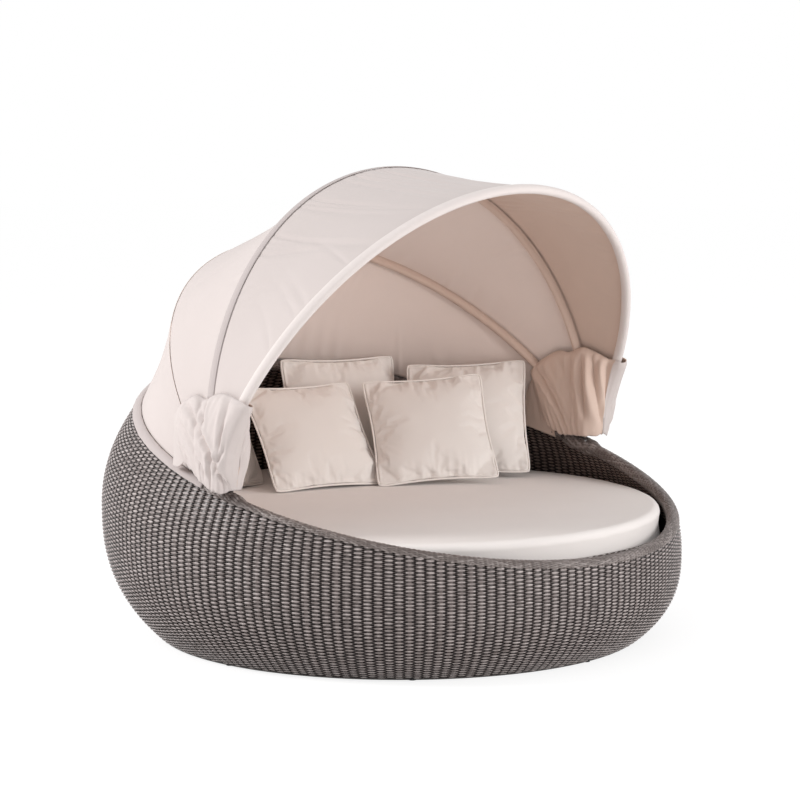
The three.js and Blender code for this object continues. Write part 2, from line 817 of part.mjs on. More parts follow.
// The front sleeve wraps the hoop, with a narrow slit behind where its two edges are sewn to the panel
function sleeveOutline() {
  const inner = hoopRadius + hoopClearance;
  const arcSteps = 7;
  const open = Math.PI / 14;
  const arc = (across, depth) => Array.from({ length: arcSteps + 1 }, (_, i) => {
    const turn = -halfPi + open + ((fullTurn - 2 * open) * i) / arcSteps;
    return new THREE.Vector2(depth * Math.cos(turn), across * Math.sin(turn));
  });
  const outerDepth = inner + clothThickness;
  return [...arc(inner, inner), ...arc(sleeveWidth / 2, outerDepth).reverse()];
}

function makeHoops() {
  const names = { front: frontHoop, mid: midHoop, rear: rearHoop };
  for (const [name, hoop] of Object.entries(names)) {
    const holder = hoopGroup(hoop);
    add(`${name}_hoop`, hoopSolid(hoop), frameMetal, holder);
    if (name === 'front') {
      add('front_sleeve', hoopBand(hoop, skirtRadius, sleeveOutline()), canopyCloth, holder);
    } else {
      add(`${name}_pocket`, hoopBand(hoop, skirtRadius, channelOutline(pocketWidth)), canopyCloth, holder);
    }
  }
}

// A point on the outside of a hoop's cloth, in the part's own frame
function clothOnHoop(hoop, share, offset) {
  return hoopToFrame(hoop, new HoopLine(hoop, skirtRadius, offset).getPointAt(share));
}

function hoopToFrame(hoop, p) {
  const turn = THREE.MathUtils.degToRad(hoop.degrees);
  const y = pivotSetBack - p.y * Math.cos(turn) - p.z * Math.sin(turn);
  const z = pivotHeight + p.y * Math.sin(turn) - p.z * Math.cos(turn);
  return new THREE.Vector3(p.x, y, z);
}

// Cloth between two lines: a straight span that sags towards the pivot axis, with shallow folds
function panelPoint(edgeA, edgeB, sag, folds) {
  return (a, b) => {
    const from = edgeA(a);
    const to = edgeB(a);
    const p = from.lerp(to, b);
    const inward = new THREE.Vector3(0, pivotSetBack, pivotHeight).sub(p).normalize();
    const slack = Math.sin(Math.PI * a);
    const fold = folds * Math.sin(panelFolds * Math.PI * a) * Math.sin(Math.PI * b);
    return p.addScaledVector(inward, (sag * Math.sin(Math.PI * b) + fold) * slack);
  };
}

function makePanels() {
  const gap = (hoop, side, ride = 0) => (a) => {
    const p = clothOnHoop(hoop, a, clothOffset + ride);
    const turn = THREE.MathUtils.degToRad(hoop.degrees);
    const back = new THREE.Vector3(0, Math.sin(turn), Math.cos(turn));
    return p.addScaledVector(back, side * clothGap);
  };
  const sleeveBack = (a) => {
    const p = clothOnHoop(frontHoop, a, 0);
    const turn = THREE.MathUtils.degToRad(frontHoop.degrees);
    const back = new THREE.Vector3(0, Math.sin(turn), Math.cos(turn));
    return p.addScaledVector(back, sleeveWidth / 2 + clothGap);
  };
  const front = panelPoint(sleeveBack, gap(midHoop, -1), frontSag, panelFoldDepth);
  const middle = panelPoint(gap(midHoop, 1), gap(rearHoop, -1), midSag, 0);
  const rear = panelPoint(gap(rearHoop, 1, rearClothRide), hemEdge, rearSag, 0);
  add('front_panel', sheetSolid(front, panelColumns, panelRows, clothThickness), canopyCloth);
  add('mid_panel', sheetSolid(middle, panelColumns, panelRows, clothThickness), canopyCloth);
  add('rear_panel', sheetSolid(rear, panelColumns, panelRows, clothThickness), canopyCloth);
}

// The hem lies on the outside of the rear rim, from above one pivot round the back to the other
function hemLine(angle, offset, from, to) {
  const arc = braidArc(angle, offset);
  const [shoulder, bend, side] = [arc[2], arc[1], arc[0]];
  const below = wallPoint(angle, wallTop(angle) - hemHeight, -braidOverhang - offset);
  const first = shoulder.clone().lerp(bend, from / shoulder.distanceTo(bend));
  const left = to - shoulder.distanceTo(bend) - bend.distanceTo(side);
  const last = side.clone().lerp(below, left / side.distanceTo(below));
  return [first, bend, side, last];
}

function hemBand(from, to, near, thickness) {
  const section = (angle) => [
    ...hemLine(angle, near, from, to),
    ...hemLine(angle, near + thickness, from, to).reverse(),
  ];
  return ringSolid(section, 0, Math.PI, wallSteps / 2);
}

function hemEdge(share) {
  const angle = Math.PI * share;
  const near = hemOffset() + clothThickness / 2;
  const [top] = hemLine(angle, near, 0, hemHeight);
  const { up } = wallFrame(angle, wallTop(angle));
  return roundBasket(top.addScaledVector(up, clothGap + clothThickness), angle);
}

function hemOffset() {
  return 2 * tapeGap + tapeThickness;
}

function makeHem() {
  const inset = (hemHeight - tapeHeight) / 2;
  add('rear_hem_band', hemBand(0, hemHeight, hemOffset(), clothThickness), canopyCloth);
  add('hem_tape', hemBand(inset, inset + tapeHeight, tapeGap, tapeThickness), tapeCloth);
}

// The skirts hang from the hoops' cloth and are gathered round each pivot, outside and inside the hoops
function skirtTop(a, offset) {
  const first = frontHoop.degrees - skirtLeadDegrees;
  const last = rearHoop.degrees + skirtLeadDegrees;
  const degrees = first + (last - first) * a;
  const turn = THREE.MathUtils.degToRad(degrees);
  const radius = skirtRadius + skirtScallop * Math.abs(Math.sin(Math.PI * skirtBays * a));
  const hoopAt = (hoop) => new HoopLine(hoop, skirtRadius, offset).getPointAt(0).x;
  const [before, after] = degrees < midHoop.degrees ? [frontHoop, midHoop] : [midHoop, rearHoop];
  const share = (degrees - before.degrees) / (after.degrees - before.degrees);
  const x = THREE.MathUtils.lerp(hoopAt(before), hoopAt(after), THREE.MathUtils.clamp(share, 0, 1));
  return new THREE.Vector3(x, pivotSetBack - radius * Math.cos(turn), pivotHeight + radius * Math.sin(turn));
}

// The folds stand away from the hoops, and the cloth soon reaches the width of its gathered foot
function skirtPoint(side, x, offset) {
  return (a, b) => {
    const top = skirtTop(a, offset);
    const foot = new THREE.Vector3(x, skirtFootFront + (skirtFootRear - skirtFootFront) * a, pivotHeight);
    foot.z -= skirtFoot * Math.sin(Math.PI * a);
    const p = top.clone().lerp(foot, b);
    p.x = x + (top.x - x) * (1 - b) ** 3;
    const fold = (skirtFoldDepth * Math.sin(Math.PI * b) * (1 + Math.sin(skirtFolds * fullTurn * a))) / 2;
    p.x = (p.x + fold * Math.sign(offset)) * side;
    return p;
  };
}

function makeSkirts() {
  const outside = boltEnd() + skirtFootClearance;
  const inside = rearHoopHalfWidth - hoopSideStep - boltHeadThickness - skirtFootClearance;
  for (const [name, side] of [['left', -1], ['right', 1]]) {
    const outer = skirtPoint(side, outside, clothOffset + skirtSeat);
    const inner = skirtPoint(side, inside, -pocketDepth - skirtSeat - fitGap);
    add(`skirt_${name}_outer`, sheetSolid(outer, skirtColumns, skirtRows, clothThickness), canopyCloth);
    add(`skirt_${name}_inner`, sheetSolid(inner, skirtColumns, skirtRows, clothThickness), canopyCloth);
  }
}

// Pivots: a saddle bracket over the rim, a bolt through the three hoops' eyes, and a nut
function boltEnd() {
  return hoopHalfWidth(frontHoop) + lugThickness / 2 + fitGap + nutThickness + boltProud;
}

function bracketMiddle() {
  return rearHoopHalfWidth - hoopSideStep + lugThickness / 2 - bracketPlateThickness / 2;
}

// The bracket's saddle lies on one facet of the rim, from one angle to the next
function bracketFacet() {
  const facet = fullTurn / wallSteps;
  const start = Math.floor(Math.asin(pivotSetBack / rimRadius) / facet) * facet;
  return [start, start + facet];
}

function crest(angle, rise) {
  return roundBasket(wallPoint(angle, wallTop(angle), wallDepth / 2, rise), angle);
}

// A screw at each end of the saddle, square to its crest
function bracketScrews() {
  const [from, to] = bracketFacet();
  const rise = braidRise + bracketThickness + 3 * fitGap;
  const [low, high] = [crest(from, rise), crest(to, rise)];
  const along = high.clone().sub(low).normalize();
  const up = high.clone().add(low).sub(crest(from, 0)).sub(crest(to, 0));
  up.addScaledVector(along, -up.dot(along)).normalize();
  const places = [low.addScaledVector(along, screwInset), high.addScaledVector(along, -screwInset)];
  return places.map((p) => ({ p, up }));
}

function onCrest(geometry, { p, up }) {
  const turn = new THREE.Quaternion().setFromUnitVectors(new THREE.Vector3(0, 1, 0), up);
  return geometry.applyQuaternion(turn).translate(p.x, p.y, p.z);
}

function screwHoleTool(place, side) {
  const tool = new THREE.CylinderGeometry(screwHole, screwHole, 2 * screwDepth + 2 * fitGap, pivotSides);
  const placed = onCrest(tool, place);
  return side > 0 ? placed : mirrored(placed);
}

function mirrored(geometry) {
  const flipped = geometry.clone().scale(-1, 1, 1);
  flipped.index.array.reverse();
  return flipped;
}

function screwSolid(place) {
  const outline = [
    new THREE.Vector2(0, -screwDepth),
    new THREE.Vector2(screwRadius, -screwDepth),
    new THREE.Vector2(screwRadius, 0),
    new THREE.Vector2(screwHeadRadius, 0),
    new THREE.Vector2(screwHeadRadius, screwHeadHeight / 2),
    new THREE.Vector2(screwHeadRadius / 2, screwHeadHeight),
    new THREE.Vector2(0, screwHeadHeight),
  ];
  return onCrest(new THREE.LatheGeometry(outline, pivotSides), place);
}

function bracketSolid() {
  const [start, end] = bracketFacet();
  const outline = (angle) => [
    ...braidArc(angle, fitGap).slice(1, -1),
    ...braidArc(angle, fitGap + bracketThickness).slice(1, -1).reverse(),
  ];
  const saddle = ringSolid(outline, start, end, 1);
  const foot = (y) => {
    const angle = Math.asin((pivotSetBack + y) / rimRadius);
    return rimTop(angle) + fitGap + bracketThickness - pivotHeight;
  };
  const shape = new THREE.Shape();
  shape.moveTo(-bracketFootWidth / 2, foot(-bracketFootWidth / 2));
  shape.lineTo(bracketFootWidth / 2, foot(bracketFootWidth / 2));
  shape.absarc(0, 0, bracketEyeRadius, 0, Math.PI, false);
  const hole = new THREE.Path();
  hole.absarc(0, 0, boltHole, 0, fullTurn, true);
  shape.holes.push(hole);
  const plateSize = { depth: bracketPlateThickness, bevelEnabled: false, curveSegments: bracketEyeSegments };
  const plate = new THREE.ExtrudeGeometry(shape, plateSize);
  plate.rotateX(halfPi).rotateZ(halfPi);
  plate.translate(bracketMiddle() - bracketPlateThickness / 2, pivotSetBack, pivotHeight);
  return cut(join(saddle, plate), bracketScrews().map((place) => screwHoleTool(place, 1)));
}

function turned(outline, sides) {
  const points = outline.map(([radius, x]) => new THREE.Vector2(radius, x));
  return new THREE.LatheGeometry(points, sides).rotateZ(-halfPi);
}

function boltSolid() {
  const under = bracketMiddle() - bracketPlateThickness / 2 - fitGap;
  const outline = [
    [0, under - boltHeadThickness],
    [boltHeadRadius * (3 / 4), under - boltHeadThickness],
    [boltHeadRadius, under - boltHeadThickness / 2],
    [boltHeadRadius, under],
    [boltRadius, under],
    [boltRadius, boltEnd()],
    [0, boltEnd()],
  ];
  return turned(outline, pivotSides);
}

function nutSolid() {
  const low = hoopHalfWidth(frontHoop) + lugThickness / 2 + fitGap;
  const outline = [
    [nutHole, low],
    [nutFlangeRadius, low],
    [nutFlangeRadius, low + nutThickness / 4],
    [nutRadius, low + nutThickness / 4],
    [nutRadius, low + nutThickness],
    [nutHole, low + nutThickness],
    [nutHole, low],
  ];
  return turned(outline, nutSides);
}

function makePivots() {
  for (const [name, side] of [['left', -1], ['right', 1]]) {
    const holder = new THREE.Group();
    holder.scale.x = side;
    group.add(holder);
    add(`pivot_bracket_${name}`, bracketSolid(), steel, holder);
    bracketScrews().forEach((place, i) => {
      add(`bracket_screw_${name}_${i + 1}`, screwSolid(place), steel, holder);
    });
    const onAxis = new THREE.Group();
    onAxis.position.set(0, pivotSetBack, pivotHeight);
    holder.add(onAxis);
    add(`pivot_bolt_${name}`, boltSolid(), steel, onAxis);
    add(`pivot_nut_${name}`, nutSolid(), steel, onAxis);
  }
}

makeBasket();
makeFrame();
makeMattress();
makePillows();
makeHoops();
makePanels();
makeHem();
makeSkirts();
makePivots();

export default group;
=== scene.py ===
import math

import bpy
import numpy as np
from mathutils import Matrix, Vector


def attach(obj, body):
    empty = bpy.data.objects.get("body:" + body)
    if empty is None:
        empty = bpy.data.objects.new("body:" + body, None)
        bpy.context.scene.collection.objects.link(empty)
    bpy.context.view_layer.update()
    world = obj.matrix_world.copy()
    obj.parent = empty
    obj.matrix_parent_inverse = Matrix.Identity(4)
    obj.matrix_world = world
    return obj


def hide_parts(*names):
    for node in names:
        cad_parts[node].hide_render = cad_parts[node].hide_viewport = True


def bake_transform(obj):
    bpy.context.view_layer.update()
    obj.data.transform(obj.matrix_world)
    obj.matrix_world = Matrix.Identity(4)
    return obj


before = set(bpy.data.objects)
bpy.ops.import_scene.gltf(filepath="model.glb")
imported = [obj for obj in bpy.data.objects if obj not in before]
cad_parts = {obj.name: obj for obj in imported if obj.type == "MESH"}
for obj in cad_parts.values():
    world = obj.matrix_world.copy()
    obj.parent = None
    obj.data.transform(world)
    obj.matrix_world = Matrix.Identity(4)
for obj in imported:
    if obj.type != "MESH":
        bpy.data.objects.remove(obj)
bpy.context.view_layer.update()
bpy.context.scene.view_settings.view_transform = "Standard"
pi = math.pi

# Camera
camera_azimuth = -0.833
camera_distance = 8.0
camera_height = 1.641
camera_pitch = 0.113
camera_lens = 114.26

# Basket outline: values at the sides, and what the back adds and the front takes off
base_radius = 0.765
belly_radius = 0.922
belly_lean_radius = 0.034
belly_height = 0.340
belly_lean_height = 0.105
rim_radius = 0.852
rim_lean_radius = -0.034
rim_height = 0.563
rim_lean_height = 0.228
rim_bow_height = 0.008
foot_curve = 2.6
shoulder_curve = 2.1

# Wall layers: depths from the outside, and insets from the face that a layer belongs to
weave_thickness = 0.008
lining_depth = 0.0302
lining_thickness = 0.0012
wall_depth = 0.0372
strand_inset = 0.0042
stake_inset = 0.0046
backing_inset = 0.0068
weave_floor_gap = 0.006
inner_weave_low = 0.345
lining_low = 0.283
backing_line_step = 0.01
fit_gap = 0.0004

# Weave: shifts move the streaks of one strand or stake against the next one's
stake_count = 188
stake_width = 0.0110
stake_crown = 0.0009
row_pitch = 0.0063
row_lift = 0.045
row_lift_reach = 0.16
strand_wave = 0.0027
strand_crown = 0.0016
strand_half = 0.47
strand_half_turned = 0.05
strand_wander = 0.00022
strand_least = 0.0005
strand_shift = 0.37
stake_shift = 0.11
foot_border_radius = 0.0042
# A strand's way from one stake to the next: share of the way, and how far out it is
wave_steps = [(0.0, 1.0), (0.32, 0.90), (0.5, 0.0), (0.68, -0.90)]

# Rim: two sets of long slanting strands laid over and under each other
braid_rise = 0.020
braid_overhang = 0.003
braid_strands = 188
braid_reach = 5
braid_width = 0.0058
braid_crown = 0.0011
braid_lift = 0.0017
braid_sink = 0.0026
braid_shift = 0.31
braid_line_step = 0.004
braid_foot_turn = 0.30
braid_wander_turn = 0.0006
rim_core_inset = 0.0042
rim_core_foot_turn = 0.12
bracket_cover = 0.0088
bracket_half_turn = 0.060
bracket_slope_turn = 0.03

# Mattress
deck_height = 0.293
mattress_low = deck_height + fit_gap
mattress_radius = 0.8520
mattress_set_back = 0.0350
mattress_thickness = 0.118
mattress_crown = 0.009
mattress_crown_curve = 2.6
mattress_edge = 0.024
mattress_side_bow = 0.0035
mattress_side_strip = 0.03
mattress_ripple = 0.0011
mattress_ripple_most = 0.002
mattress_still = 0.012
mattress_free_run = 0.03

# Pillows: places across and back as shares of the mattress's radius, then degrees of facing, lean and roll
pillow_places = {
    "pillow_front_left": (0.0235, 0.3369, -108, 40, 0),
    "pillow_front_right": (0.365, 0.108, -131, 38, 4),
    "pillow_back_right": (0.6162, 0.1608, -141, 27, 3),
    "pillow_back_left": (0.3638, 0.5692, -118, 18, 0),
    "pillow_left": (-0.2817, 0.5927, -80, 20, 0),
}
pillow_width = 0.400
pillow_thickness = 0.105
pillow_start_lift = 0.030
pillow_cells = 56
pillow_edge_bow = 0.080
pillow_corner_trim = 0.050
pillow_spare_cloth = 0.07
pillow_stand_off = 0.002
piping_radius = 0.0033
piping_sides = 8
pucker_depth = 0.0036
pucker_reach = 0.024
pucker_clear = 0.006
pucker_lengths = (0.017, 0.025, 0.040)

# Stitches
stitch_pitch = 0.0062
stitch_length = 0.0040
stitch_width = 0.0011
stitch_height = 0.0007
stitch_inset = 0.0035

# Canopy
pivot_y = -0.076
pivot_z = 0.583
pivot = np.array([0, pivot_y, pivot_z])
rear_half_width = 0.851
hoop_side_step = 0.023
hoops = {
    "front": {"steps": 2, "leg": 0.083, "rise": 0.843, "degrees": 63.3},
    "mid": {"steps": 1, "leg": 0.030, "rise": 0.848, "degrees": 96.6},
    "rear": {"steps": 0, "leg": 0.052, "rise": 0.829, "degrees": 134.5},
}
hoop_run = 2.6
cloth_thickness = 0.0016
cloth_gap = 0.0006
cloth_offset = 0.0120
canopy_start = 0.222
band_start = 0.230
front_sag = 0.012
mid_sag = 0.016
rear_sag = 0.014
rear_cloth_ride = 0.0026
panel_hold = 0.045
panel_columns = 440
panel_rows = 64

# Sleeve, pockets and seam band: the hoops' own cloth
sleeve_width = 0.034
sleeve_inset = 0.0008
sleeve_open_turn = 0.16
sleeve_wobble = 0.00045
pocket_depth = 0.0139
pocket_thickness = 0.0012
pocket_half_width = 0.0132
pocket_half_depth = 0.0188
pocket_centre = 0.0052
pocket_wobble = 0.00035
pocket_flange = np.array([[0.0030, 0.0180], [0.0042, 0.0156]])
seam_band_width = 0.026
seam_band_front = 0.004
seam_band_crown = 0.0022
sleeve_flat = (0.105, 2.56)
pocket_flat = (0.062, 2.56)
seam_band_flat = (seam_band_width, 2.60)

# Hem and its fastening tape
hem_height = 0.032
hem_ripple = 0.0016
tape_height = 0.020
tape_thickness = 0.0012
tape_gap = 0.0006
hem_offset = 2 * tape_gap + tape_thickness + cloth_thickness / 2
hem_flat = (2.75, hem_height)
tape_flat = (2.70, tape_height)

# Skirts: one gathered pouch round each pivot, outside the hoops, round their front and inside them
skirt_radius = 0.250
skirt_seat = 0.0024
skirt_lead_degrees = 5
skirt_front_degrees = 2.0
outer_skirt_x = 0.9144
inner_skirt_x = 0.8060
inner_front_x = 0.8660
skirt_rows = 44
skirt_side_columns = 120
skirt_front_columns = 22
skirt_front_foot_x = 0.869
skirt_foot_draw = 0.80
skirt_rear_draw = 0.040
skirt_waist = 0.016
skirt_puff = 0.016
skirt_pucker_seam = 0.0020
skirt_pucker = 0.0012
skirt_gather = 0.0040
skirt_frill = 0.0030
# The share round the pouch behind which its inside layer wears the canopy's warmer inside colour, painted light
# through the cloth
skirt_wrap = {"left": 0.30, "right": 0.05}
# The pouch's top: share round it, 0 at the front hoop and 1 at the rear one, then its distance from the pivot
outer_top = [(0.0, 0.270), (0.14, 0.259), (0.33, 0.251), (0.48, 0.240), (0.58, 0.232), (0.68, 0.258),
             (0.80, 0.265), (1.0, 0.268)]
inner_top = [(0.0, 0.262), (0.12, 0.248), (0.26, 0.257), (0.38, 0.268), (0.53, 0.250), (0.62, 0.266),
             (1.0, 0.268)]
# The pouch's foot: the same shares, then its place back and up
outer_foot = [(0.0, -0.138, 0.556), (0.14, -0.124, 0.546), (0.30, -0.095, 0.552), (0.70, -0.015, 0.594),
              (1.0, 0.058, 0.620)]
inner_foot = [(0.0, -0.142, 0.556), (0.14, -0.130, 0.552), (0.35, -0.092, 0.550), (0.75, -0.006, 0.550),
              (1.0, 0.045, 0.574)]
# Creases: shares round and down at the first end, the same at the other end, then width and depth
outer_creases = [
    (0.74, 0.14, 0.13, 0.80, 0.040, 1.00), (0.52, 0.00, 0.46, 0.34, 0.030, 0.95),
    (0.86, 0.30, 0.36, 0.90, 0.035, 0.50), (0.17, 0.00, 0.14, 0.52, 0.030, 0.70),
    (0.64, 0.02, 0.50, 0.22, 0.022, 0.55), (0.28, 0.62, 0.30, 1.00, 0.028, 0.80),
    (0.04, 0.55, 0.20, 0.72, 0.050, 0.80), (0.92, 0.62, 0.66, 1.00, 0.026, 0.55),
    (0.10, 0.76, 0.12, 1.00, 0.030, 0.70),
]
inner_creases = [
    (0.93, 0.04, 0.58, 0.95, 0.034, 1.00), (0.86, 0.05, 0.52, 0.90, 0.024, 0.55),
    (0.50, 0.00, 0.49, 0.36, 0.026, 0.80), (0.38, 0.12, 0.28, 0.72, 0.030, 1.00),
    (0.27, 0.06, 0.08, 0.80, 0.034, 0.95), (0.66, 0.06, 0.44, 0.50, 0.030, 0.35),
    (0.12, 0.00, 0.05, 0.55, 0.030, 0.60), (0.46, 0.60, 0.40, 1.00, 0.024, 0.60),
    (0.78, 0.62, 0.70, 1.00, 0.026, 0.50),
]
tail_creases = [(0.02, 0.0, 0.10, 1.0, 0.08, 1.0), (0.45, 0.1, 0.35, 0.8, 0.06, 0.5)]

# The inside layer's tail behind the rear hoop, and the outside layer's last fold, its gore
tail_degrees = 32
tail_overlap_degrees = 9
tail_spread_degrees = 8
tail_bow = 0.006
tail_ripple = 0.0030
tail_valley = 0.006
tail_valley_back = -0.003
tail_foot_gap = 0.006
tail_foot_degrees = (1.5, 11.5)
tail_size = 0.12
gore_foot = (0.861, 0.126, 0.603)
gore_top_step = (0.001, 0.002)
gore_fold = 0.0030
gore_ripple = 0.0012
gore_dip = 0.010
gore_size = (0.10, 0.14)

# Surfaces: how deep their relief is, and how far apart cloth threads lie
thread_depth = 0.00012
tape_thread_depth = 0.0004
crumple_depth = 0.0012
streak_depth = 0.0004
grain_depth = 0.0002
board_depth = 0.0005
mattress_threads = 0.0016
pillow_threads = 0.0014
piping_threads = 0.0012
canopy_threads = 0.0013
tape_threads = 0.0022

# Stage and light
floor_reach = 30.0
glow_inset = 0.03
floor_grey = (0.33, 0.33, 0.33, 1)
floor_pale = (0.82, 0.80, 0.79, 1)
floor_glow = 0.80
world_strength = 0.60
light_target = Vector((0, 0, 0.5))
# Lamps: azimuth, elevation, distance, size, power and colour
lamps = {
    "key": (-122, 30, 6.0, 2.0, 198, (1.0, 0.99, 0.985)),
    "fill": (14, 14, 7.0, 3.2, 215, (1.0, 0.985, 0.975)),
}


def make_camera():
    data = bpy.data.cameras.new("camera")
    data.lens = camera_lens
    data.sensor_width = 36
    camera = bpy.data.objects.new("camera", data)
    across = camera_distance * math.sin(camera_azimuth)
    back = -camera_distance * math.cos(camera_azimuth)
    camera.location = (across, back, camera_height)
    camera.rotation_euler = (pi / 2 - camera_pitch, 0, camera_azimuth)
    bpy.context.collection.objects.link(camera)
    bpy.context.scene.camera = camera


make_camera()


# Meshes
def make_mesh(name, points, face_groups, materials, uv=None, tone=None, parts=None):
    """face_groups are arrays of faces, uv and tone are per point, parts are the faces' materials."""
    points = np.asarray(points, float).reshape(-1, 3)
    groups = [np.asarray(g, np.int32) for g in face_groups]
    corners = np.concatenate([g.ravel() for g in groups])
    totals = np.concatenate([np.full(len(g), g.shape[1], np.int32) for g in groups])
    starts = np.concatenate([[0], np.cumsum(totals)[:-1]]).astype(np.int32)
    mesh = bpy.data.meshes.new(name)
    mesh.vertices.add(len(points))
    mesh.vertices.foreach_set("co", points.astype(np.float32).ravel())
    mesh.loops.add(len(corners))
    mesh.loops.foreach_set("vertex_index", corners)
    mesh.polygons.add(len(totals))
    mesh.polygons.foreach_set("loop_start", starts)
    mesh.polygons.foreach_set("use_smooth", np.ones(len(totals), bool))
    if parts is not None:
        mesh.polygons.foreach_set("material_index", np.asarray(parts, np.int32))
    if uv is not None:
        layer = mesh.uv_layers.new(name="UVMap")
        layer.data.foreach_set("uv", np.asarray(uv, np.float32).reshape(-1, 2)[corners].ravel())
    if tone is not None:
        attribute = mesh.attributes.new("tone", "FLOAT", "POINT")
        attribute.data.foreach_set("value", np.asarray(tone, np.float32).ravel())
    for m in materials:
        mesh.materials.append(m)
    mesh.update(calc_edges=True)
    mesh.validate()
    piece = bpy.data.objects.new(name, mesh)
    bpy.context.collection.objects.link(piece)
    return piece


def dress(piece, body, slot, *nodes):
    """The piece rides on a body and stands for the nodes. slot is not used."""
    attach(piece, body)
    if nodes:
        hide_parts(*nodes)


def stretched(piece, body, flat, rests_on, *nodes, slot="canopy_cloth"):
    """A sheet of cloth that moves with one body."""
    dress(piece, body, slot, *nodes)


def unit_grid(columns, rows):
    """The shares along both ways of a grid, from 0 to 1."""
    return np.meshgrid(np.linspace(0, 1, columns), np.linspace(0, 1, rows), indexing="ij")


def grid_faces(rows, columns, close_rows=False, close_columns=False):
    """Quads of a grid whose point (i, j) has the number i * columns + j."""
    i = np.arange(rows if close_rows else rows - 1)
    j = np.arange(columns if close_columns else columns - 1)
    i, j = np.meshgrid(i, j, indexing="ij")
    k, m = (i + 1) % rows, (j + 1) % columns
    quads = np.stack([i * columns + j, k * columns + j, k * columns + m, i * columns + m], -1)
    return quads.reshape(-1, 4)


def unit(vectors):
    return vectors / np.maximum(np.linalg.norm(vectors, axis=-1, keepdims=True), 1e-12)


def grid_normals(grid):
    return unit(np.cross(np.gradient(grid, axis=0), np.gradient(grid, axis=1)))


def face_normals(quads):
    return np.cross(quads[:, 1] - quads[:, 0], quads[:, 3] - quads[:, 0])


def distances(line):
    """Distances along a line of points, from its first point."""
    return np.concatenate([[0], np.cumsum(np.linalg.norm(np.diff(line, axis=0), axis=-1))])


def read_line(line, run, at):
    """Values of a line, one row for each distance in run, read at other distances."""
    return np.stack([np.interp(at, run, column) for column in line.T], -1)


def grid_lengths(grid):
    """Distances along both ways of a grid, in metres, for its texture coordinates."""
    along = np.linalg.norm(np.diff(grid, axis=0), axis=-1).mean(1)
    over = np.linalg.norm(np.diff(grid, axis=1), axis=-1).mean(0)
    u = np.concatenate([[0], np.cumsum(along)])
    v = np.concatenate([[0], np.cumsum(over)])
    return np.stack(np.meshgrid(u, v, indexing="ij"), -1)


def shell(name, grid, thickness, materials, outwards, wears_inside=None):
    """A closed sheet on a grid of points. Its outwards side wears the first material and the rest the last.
    lined marks the columns whose outwards side wears the last material too."""
    if (grid_normals(grid) * outwards).sum() < 0:
        grid = grid[::-1]
        wears_inside = None if wears_inside is None else wears_inside[::-1]
    rows, columns = grid.shape[:2]
    size = rows * columns
    half = grid_normals(grid) * thickness / 2
    points = np.concatenate([(grid + half).reshape(-1, 3), (grid - half).reshape(-1, 3)])
    front = grid_faces(rows, columns)
    back = front[:, ::-1] + size
    i, j = np.arange(rows - 1), np.arange(columns - 1)
    low, high = i * columns, i * columns + columns - 1
    first, last = j, (rows - 1) * columns + j
    rims = [
        np.stack([low + columns, low, low + size, low + columns + size], -1),
        np.stack([high, high + columns, high + columns + size, high + size], -1),
        np.stack([first, first + 1, first + 1 + size, first + size], -1),
        np.stack([last + 1, last, last + size, last + 1 + size], -1),
    ]
    faces = np.concatenate([front, back, *rims])
    parts = np.zeros(len(faces), int)
    parts[len(front):] = len(materials) - 1
    if wears_inside is not None:
        parts[:len(front)] = np.repeat(wears_inside[:-1] | wears_inside[1:], columns - 1) * (len(materials) - 1)
    uv = grid_lengths(grid).reshape(-1, 2)
    return make_mesh(name, points, [faces], materials, np.concatenate([uv, uv]), None, parts)


def ring_cord(name, path, radius, finish, reference=(0, 0, 1)):
    """A round cord along a closed path."""
    along = unit(np.roll(path, -1, 0) - np.roll(path, 1, 0))
    side = unit(np.cross(along, np.asarray(reference, float) * np.ones_like(path)))
    up = np.cross(side, along)
    turn = np.arange(piping_sides) * 2 * pi / piping_sides
    ring = side[:, None] * np.cos(turn)[None, :, None] + up[:, None] * np.sin(turn)[None, :, None]
    faces = grid_faces(len(path), piping_sides, close_rows=True, close_columns=True)[:, ::-1]
    uv = np.stack(np.meshgrid(distances(path), turn * radius, indexing="ij"), -1)
    return make_mesh(name, path[:, None] + radius * ring, [faces], [finish], uv)


def stitches(name, path, out, finish):
    """A row of short threads along a path, standing a little proud of the cloth along out."""
    run = distances(path)
    count = int(run[-1] / stitch_pitch)
    middle = (np.arange(count) + 0.5) * stitch_pitch
    begin = read_line(path, run, middle - stitch_length / 2)
    end = read_line(path, run, middle + stitch_length / 2)
    normal = unit(read_line(out, run, middle))
    side = np.cross(normal, unit(end - begin)) * stitch_width / 2
    lift = normal * stitch_height
    rings = []
    for place, share in ((begin, 0.35), ((begin + end) / 2, 1.0), (end, 0.35)):
        rings += [place - side * share, place + lift * share, place + side * share, place - lift * 0.5]
    points = np.stack(rings, 1).reshape(-1, 3)
    quads = [[4 * k + j, 4 * k + (j + 1) % 4, 4 * k + 4 + (j + 1) % 4, 4 * k + 4 + j]
             for k in range(2) for j in range(4)]
    quads += [[3, 2, 1, 0], [8, 9, 10, 11]]
    faces = np.array(quads)[None] + 12 * np.arange(count)[:, None, None]
    return make_mesh(name, points, [faces.reshape(-1, 4)], [finish], points[:, :2])


def ripples(a, b, seed, count, longest, shortest):
    """Smooth random waves over two coordinates, from about -1 to 1."""
    rng = np.random.default_rng(seed)
    total = 0
    for _ in range(count):
        length = math.exp(rng.uniform(math.log(shortest), math.log(longest)))
        heading = rng.uniform(0, 2 * pi)
        phase = rng.uniform(0, 2 * pi)
        wave = (np.cos(heading) * a + np.sin(heading) * b) * 2 * pi / length
        total = total + np.sin(wave + phase) * (length / longest) ** 0.7
    return total / math.sqrt(count)


